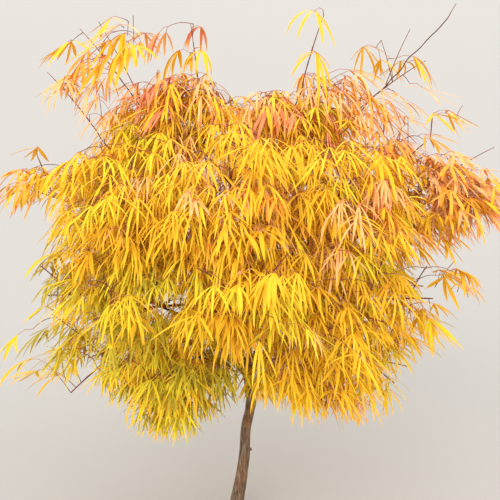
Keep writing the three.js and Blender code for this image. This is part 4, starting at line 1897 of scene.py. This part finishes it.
class BoughPiece:
    """All boughs in one joined piece, each with its nodes and the collar at its root."""

    def __init__(self, limbs: dict[str, Limb], shape: BoughShape, random: Random) -> None:
        """Keeps the boughs and their sizes, and makes their middle lines.

        Args:
            limbs: the trunk and all boughs.
            shape: their sizes.
            random: its stream of numbers.
        """
        self.limbs = limbs
        self.shape = shape
        self.random = random
        self.paths: dict[str, Array] = {}
        for plan in MASSES:
            curve = limbs[plan.name].curve
            length = length_of(curve.sampled(shape.length_steps))
            path = curve.sampled(max(int(length / shape.step), shape.fewest_steps))
            self.paths[plan.name] = path + self.wander(len(path), length)

    def radii(self, limb: Limb, carrier_radius: float, count: int, length: float) -> Array:
        """The radii along one bough.

        Args:
            limb: the bough.
            carrier_radius: the radius of what it leaves.
            count: how many points it has.
            length: how long it is.

        Returns:
            A radius for each point.
        """
        shape = self.shape
        share = np.linspace(0, 1, count)
        slim = SLIM_BOUGHS.get(limb.name.removesuffix("_bough"), 1.0)
        tip = shape.tip if slim == 1 else shape.slim_tip
        radii = slim * limb.root_radius + (tip - slim * limb.root_radius) * share**shape.taper_power
        run = share * length
        beyond = np.maximum(run - carrier_radius, 0)
        radii = radii * (1 + shape.collar * np.exp(-beyond / shape.collar_run))
        phase = (run / shape.node_step + self.random.random()) % 1
        return radii * (1 + shape.node_rise * np.exp(-(((phase - 0.5) / shape.node_width) ** 2)))

    def wander(self, count: int, length: float) -> Array:
        """How far a bough strays from its smooth curve, with both ends kept in place.

        Args:
            count: how many points it has.
            length: how long it is.

        Returns:
            An offset for each point.
        """
        shape = self.shape
        share = np.linspace(0, 1, count)
        flat = np.array([1, 1, shape.wave_flatness])
        waves = np.zeros((count, 3))
        for wave, size in shape.waves:
            phases = self.random.random(3)
            waves += size * np.sin(2 * np.pi * (share[:, None] * (length / wave) + phases)) * flat
        return waves * np.minimum(1, shape.wave_start * share * (1 - share))[:, None]

    def build(self, material: Material) -> bpy.types.Object:
        """Builds the piece.

        Args:
            material: its bark.

        Returns:
            The piece, which replaces every bough.
        """
        shape, gathered = self.shape, Gathered()
        for plan in MASSES:
            limb, carrier = self.limbs[plan.name], self.limbs[plan.carrier]
            path = self.paths[plan.name]
            carrier_radius = min(carrier.radius(plan.share), shape.widest_carrier)
            radii = self.radii(limb, carrier_radius, len(path), length_of(path))
            points, faces = tubes(path[None], radii[None], shape.sides)
            for middle, ring in zip(path, points[0]):
                for j, point in enumerate(ring):
                    ring[j] = point + (point - middle) * shape.bump * self.grain(point)
            gathered.add(points, faces)
        piece = gathered.piece("bough_bark", [material])
        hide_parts(*(f"{plan.name}_bough" for plan in MASSES))
        return piece

    def grain(self, point: Array) -> float:
        """The bark's relief at a point, coarse and fine.

        Args:
            point: the point.

        Returns:
            A share of the radius there.
        """
        shape = self.shape
        fine = noise.noise(Vector(point * shape.fine_grain))
        return noise.noise(Vector(point * shape.coarse_grain)) + shape.fine_share * fine


@dataclass(frozen=True)
class BareTwig:
    """A bare twig that stands out of the crown: the bough it leaves, where, and its tip in millimetres."""

    bough: str
    share: float
    tip: Triple
    root_radius: float = 1.7
    tip_radius: float = 0.7
    bow: float = 0.04
    steps: int = 10
    sides: int = 6


BARE_TWIGS = (
    BareTwig("bare_twig", 1.0, (492, -19, 1300), 1.2),
    BareTwig("bare_twig", 0.62, (392, -30, 1246), 1.1),
    BareTwig("upper_left_spray", 0.7, (-292, -30, 1262), 1.4),
    BareTwig("right_shoulder", 1.0, (604, -14, 982), 2.2),
)


# Finishes


class Look:
    """Makes materials from shader nodes."""

    NOISE_LOW = 0.3
    NOISE_HIGH = 0.7

    def __init__(self, name: str) -> None:
        """Starts a material with one principled shader.

        Args:
            name: the material's name.
        """
        self.material = bpy.data.materials.new(name)
        self.material.use_nodes = True
        self.nodes = self.material.node_tree.nodes
        self.links = self.material.node_tree.links
        self.shader = self.nodes["Principled BSDF"]

    def set(self, **values: float | tuple[float, ...]) -> None:
        """Sets plain values on the shader's own sockets, with _ for a space in their names."""
        for name, value in values.items():
            self.shader.inputs[name.replace("_", " ")].default_value = value

    def coordinates(self, stretch: Triple) -> Socket:
        """The object's own coordinates, stretched.

        Args:
            stretch: the scale along x, y and z.

        Returns:
            The coordinates.
        """
        place = self.nodes.new("ShaderNodeTexCoord")
        mapping = self.nodes.new("ShaderNodeMapping")
        mapping.inputs["Scale"].default_value = stretch
        self.links.new(place.outputs["Object"], mapping.inputs["Vector"])
        return mapping.outputs["Vector"]

    def noise(self, vector: Socket, scale: float, detail: float = 4) -> Socket:
        """A noise from 0 to 1.

        Args:
            vector: the coordinates.
            scale: how fine it is.
            detail: how many layers it has.

        Returns:
            The noise.
        """
        texture = self.nodes.new("ShaderNodeTexNoise")
        texture.inputs["Scale"].default_value = scale
        texture.inputs["Detail"].default_value = detail
        self.links.new(vector, texture.inputs["Vector"])
        return texture.outputs["Fac"]

    def ramp(
        self, factor: Socket, places: tuple[float, ...], *colours: Triple
    ) -> Socket:
        """A colour ramp over a factor, with its colours at some places.

        Args:
            factor: the factor.
            places: where each colour stands, from 0 to 1.
            colours: the colours.

        Returns:
            The colour.
        """
        node = self.nodes.new("ShaderNodeValToRGB")
        while len(node.color_ramp.elements) < len(places):
            node.color_ramp.elements.new(0.5)
        for element, position, colour in zip(node.color_ramp.elements, places, colours):
            element.position = position
            element.color = (*colour, 1)
        self.links.new(factor, node.inputs["Fac"])
        return node.outputs["Color"]

    def mixed(self, factor: Socket, first: Socket, second: Socket) -> Socket:
        """One colour that passes into another by a factor.

        Args:
            factor: the factor.
            first: the colour at 0.
            second: the colour at 1.

        Returns:
            The colour.
        """
        node = self.nodes.new("ShaderNodeMix")
        node.data_type = "RGBA"
        self.links.new(factor, node.inputs["Factor"])
        self.links.new(first, node.inputs["A"])
        self.links.new(second, node.inputs["B"])
        return node.outputs["Result"]

    def ranged(self, factor: Socket, low: float, high: float) -> Socket:
        """The usual range of a noise spread from low to high.

        Args:
            factor: the noise.
            low: the lowest value.
            high: the highest value.

        Returns:
            The value.
        """
        node = self.nodes.new("ShaderNodeMapRange")
        node.inputs["From Min"].default_value = self.NOISE_LOW
        node.inputs["From Max"].default_value = self.NOISE_HIGH
        node.inputs["To Min"].default_value = low
        node.inputs["To Max"].default_value = high
        self.links.new(factor, node.inputs["Value"])
        return node.outputs["Result"]

    def bump(self, height: Socket, strength: float, distance: float) -> None:
        """Roughens the surface by a height.

        Args:
            height: the height.
            strength: how much of it shows, from 0 to 1.
            distance: how high it is at 1, in metres.
        """
        node = self.nodes.new("ShaderNodeBump")
        node.inputs["Strength"].default_value = strength
        node.inputs["Distance"].default_value = distance
        self.links.new(height, node.inputs["Height"])
        self.links.new(node.outputs["Normal"], self.shader.inputs["Normal"])


@dataclass(frozen=True)
class LeafFinish:
    """A leaf's surface: one plain autumn tint with a satin sheen."""

    tint: Tint
    roughness: Pair = (0.42, 0.62)
    specular: float = 0.12
    grain: float = 420
    detail: float = 2

    def material(self) -> Material:
        """Makes the material.

        Returns:
            The material.
        """
        look = Look(f"leaf_{self.tint.name.lower()}")
        look.set(Base_Color=(*self.tint.value, 1), Specular_IOR_Level=self.specular)
        fine = look.noise(look.coordinates((1, 1, 1)), self.grain, self.detail)
        look.links.new(look.ranged(fine, *self.roughness), look.shader.inputs["Roughness"])
        return look.material


@dataclass(frozen=True)
class BarkFinish:
    """Bark of young maple wood: fine dark fissures, warm ridges, and patches of another colour."""

    name: str
    stretch: Triple
    dark: Triple
    middle: Triple
    light: Triple
    patch: Triple
    bump_distance: float
    grain: float = 260
    detail: float = 9
    places: Triple = (0.32, 0.5, 0.68)
    warm_places: Triple = (0.3, 0.52, 0.72)
    patch_stretch: Triple = (1, 1, 0.6)
    patch_scale: float = 34
    patch_detail: float = 3
    patch_range: Pair = (-0.6, 1.3)
    specular: float = 0.25
    roughness: Pair = (0.95, 0.72)
    bump_detail: float = 6
    bump_strength: float = 0.6

    def material(self) -> Material:
        """Makes the material.

        Returns:
            The material.
        """
        look = Look(self.name)
        look.set(Specular_IOR_Level=self.specular)
        drawn = look.coordinates(self.stretch)
        grain = look.noise(drawn, self.grain, self.detail)
        colour = look.ramp(grain, self.places, self.dark, self.middle, self.light)
        warm = look.ramp(grain, self.warm_places, self.dark, self.patch, self.light)
        spots = look.noise(look.coordinates(self.patch_stretch), self.patch_scale, self.patch_detail)
        patches = look.ranged(spots, *self.patch_range)
        look.links.new(look.mixed(patches, colour, warm), look.shader.inputs["Base Color"])
        look.links.new(look.ranged(grain, *self.roughness), look.shader.inputs["Roughness"])
        fine = look.noise(drawn, 2 * self.grain, self.bump_detail)
        look.bump(fine, self.bump_strength, self.bump_distance)
        return look.material


TRUNK_FINISH = BarkFinish(
    "trunk_bark",
    (1, 1, 0.14),
    (0.070, 0.046, 0.030),
    (0.160, 0.104, 0.066),
    (0.300, 0.220, 0.150),
    (0.250, 0.118, 0.058),
    0.0012,
)
BOUGH_FINISH = BarkFinish(
    "bough_bark",
    (1, 1, 0.6),
    (0.050, 0.020, 0.012),
    (0.125, 0.050, 0.028),
    (0.220, 0.100, 0.055),
    (0.150, 0.085, 0.055),
    0.0006,
)
TWIG_FINISH = BarkFinish(
    "twig_bark",
    (1, 1, 1),
    (0.110, 0.032, 0.020),
    (0.220, 0.068, 0.042),
    (0.340, 0.130, 0.075),
    (0.300, 0.062, 0.045),
    0.0003,
)
STALK_FINISH = BarkFinish(
    "leaf_stalk",
    (1, 1, 1),
    (0.420, 0.080, 0.050),
    (0.560, 0.130, 0.085),
    (0.660, 0.210, 0.120),
    (0.600, 0.230, 0.060),
    0.0001,
)


# The tree


@dataclass(frozen=True)
class GroupPlan:
    """Masses of one finish that share one piece of leaves and one of twigs."""

    name: str
    slot: str
    masses: tuple[str, ...]


GROUPS = tuple(
    GroupPlan(*row)
    for row in (
        ("upper_amber", "amber_leaves", ("top_left", "top_right", "top_spray", "upper_right_spray")),
        (
            "side_amber",
            "amber_leaves",
            ("left_shoulder", "upper_left_outer", "front_upper", "front_right_upper"),
        ),
        ("salmon", "salmon_leaves", ("right_shoulder", "upper_left_spray", "upper_right_outer", "top_twig")),
        ("upper_gold", "gold_leaves", ("front_left_upper", "back_left_upper", "back_right_upper")),
        (
            "middle_gold",
            "gold_leaves",
            ("front_mid", "front_left_mid", "front_right_mid", "left_mid", "left_low"),
        ),
        (
            "side_gold",
            "gold_leaves",
            ("back_right_mid", "back_left_mid", "right_mid", "right_low", "right_lone"),
        ),
        ("lemon", "lemon_leaves", ("low_left_front", "low_right_front", "back_low")),
    )
)


class Tree:
    """The whole tree, built group by group."""

    SEED = 2026
    MARGIN_SHARE = 0.018
    MARGIN = 2
    LOWEST = 300
    BARE_TWIG_GROUP = "upper_amber"

    def __init__(self, low: Array, high: Array) -> None:
        """Grows the tree by the rule.

        Args:
            low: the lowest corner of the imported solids, in millimetres.
            high: their highest corner.
        """
        self.grower = Grower()
        self.growths = {growth.plan.name: growth for growth in self.grower.grow()}
        self.random = np.random.default_rng(self.SEED)
        margin = self.MARGIN_SHARE * (high - low) + self.MARGIN
        self.room = Room(np.maximum(low - margin, [-FAR_AWAY, -FAR_AWAY, self.LOWEST]), high + margin)
        stars = sum(len(growth.stars) for growth in self.growths.values())
        log.info("the rule grows %d stars", stars)

    def build(self) -> None:
        """Builds every piece."""
        leaf_materials = [LeafFinish(tint).material() for tint in Tint]
        wood_materials = [TWIG_FINISH.material(), STALK_FINISH.material()]
        TrunkPiece(self.grower.limbs["trunk"], BarkShape()).build(TRUNK_FINISH.material())
        boughs = BoughPiece(self.grower.limbs, BoughShape(), self.random)
        boughs.build(BOUGH_FINISH.material())
        maker = LeafMaker(LeafShape(), self.random)
        dresser = Dresser(ShootShape(), StalkShape(), boughs.paths, self.room, self.random)
        for group in GROUPS:
            spray = Spray()
            for name in group.masses:
                dresser.mass(spray, self.growths[name], Space(self.growths[name].plan, self.grower.bones))
            if group.name == self.BARE_TWIG_GROUP:
                self.add_bare_twigs(spray)
            lobes = Gathered()
            maker.add_to(lobes, spray.leaves)
            log.info("%s: %d leaves", group.name, len(spray.leaves.hubs))
            self.finish(lobes.piece(f"{group.name}_leaves", leaf_materials), group)
            self.finish(spray.wood.piece(f"{group.name}_twigs", wood_materials), group)

    def finish(self, piece: bpy.types.Object, group: GroupPlan) -> None:
        """Hides the solids of the masses that a piece replaces."""
        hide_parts(*group.masses)

    def add_bare_twigs(self, spray: Spray) -> None:
        """Adds the bare twigs that stand out of the crown.

        Args:
            spray: what they are added to.
        """
        for twig in BARE_TWIGS:
            start = self.grower.limbs[twig.bough].curve.point(twig.share)
            path = bowed(start, np.array(twig.tip, float), twig.bow, twig.steps)
            radii = np.linspace(twig.root_radius, twig.tip_radius, len(path))
            spray.wood.add(*tubes(path[None], radii[None], twig.sides))


# The studio


@dataclass(frozen=True)
class Lamp:
    """One soft light from far away, its spread in degrees and its strength in watts per square metre."""

    name: str
    place: Triple
    spread: float
    strength: float
    colour: Triple = (1.0, 0.96, 0.9)

    def add(self) -> None:
        """Adds it to the scene, shining from its place toward the origin."""
        data = bpy.data.lights.new(self.name, "SUN")
        data.angle = math.radians(self.spread)
        data.energy = self.strength
        data.color = self.colour
        light = bpy.data.objects.new(self.name, data)
        light.location = self.place
        light.rotation_euler = (-Vector(self.place)).to_track_quat("-Z", "Y").to_euler()
        bpy.context.scene.collection.objects.link(light)


@dataclass(frozen=True)
class Studio:
    """A pale floor, soft light and a camera at the photograph's angle, in metres and degrees."""

    floor_size: float = 400
    floor_height: float = -0.001
    floor_colour: Triple = (0.45, 0.44, 0.425)
    floor_roughness: float = 0.85
    lamps: tuple[Lamp, ...] = (
        Lamp("key", (-1.6, -3.0, 2.3), 40, 1.2),
        Lamp("fill", (2.6, -1.6, 1.9), 60, 0.5),
        Lamp("back", (0.6, 2.6, 2.9), 40, 0.6),
    )
    world_colour: Triple = (1.0, 0.98, 0.95)
    world_strength: float = 1.24
    camera_place: Triple = (0.040, -1.958, 1.328)
    camera_pitch: float = 73
    lens: float = 61.2
    sensor: float = 36

    def build(self) -> None:
        """Builds the studio."""
        self.add_floor()
        for lamp in self.lamps:
            lamp.add()
        self.add_world()
        bpy.context.scene.view_settings.view_transform = "Standard"
        self.add_camera()

    def add_world(self) -> None:
        """Adds the even light of the sky."""
        world = bpy.data.worlds.new("world")
        world.use_nodes = True
        background = world.node_tree.nodes["Background"]
        background.inputs["Color"].default_value = (*self.world_colour, 1)
        background.inputs["Strength"].default_value = self.world_strength
        bpy.context.scene.world = world

    def add_floor(self) -> None:
        """Adds the plain pale floor."""
        half, height = self.floor_size / 2, self.floor_height
        mesh = bpy.data.meshes.new("floor")
        corners = [(x * half, y * half, height) for x, y in ((-1, -1), (1, -1), (1, 1), (-1, 1))]
        mesh.from_pydata(corners, [], [(0, 1, 2, 3)])
        look = Look("floor")
        look.set(Base_Color=(*self.floor_colour, 1), Roughness=self.floor_roughness)
        mesh.materials.append(look.material)
        floor = bpy.data.objects.new("floor", mesh)
        bpy.context.scene.collection.objects.link(floor)
        floor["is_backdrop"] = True

    def add_camera(self) -> None:
        """Adds the camera of the photograph."""
        data = bpy.data.cameras.new("camera")
        data.lens = self.lens
        data.sensor_width = self.sensor
        camera = bpy.data.objects.new("camera", data)
        camera.location = self.camera_place
        camera.rotation_euler = (math.radians(self.camera_pitch), 0, 0)
        bpy.context.scene.collection.objects.link(camera)
        bpy.context.scene.camera = camera


def main() -> None:
    """Builds the tree and the studio in order."""
    logging.basicConfig(level=logging.INFO, format="%(name)s: %(message)s")
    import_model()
    cad_low, cad_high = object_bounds()
    low, high = (np.array(corner) / MM for corner in (cad_low, cad_high))
    Tree(low, high).build()
    Studio().build()


if __name__ == "__main__":
    main()
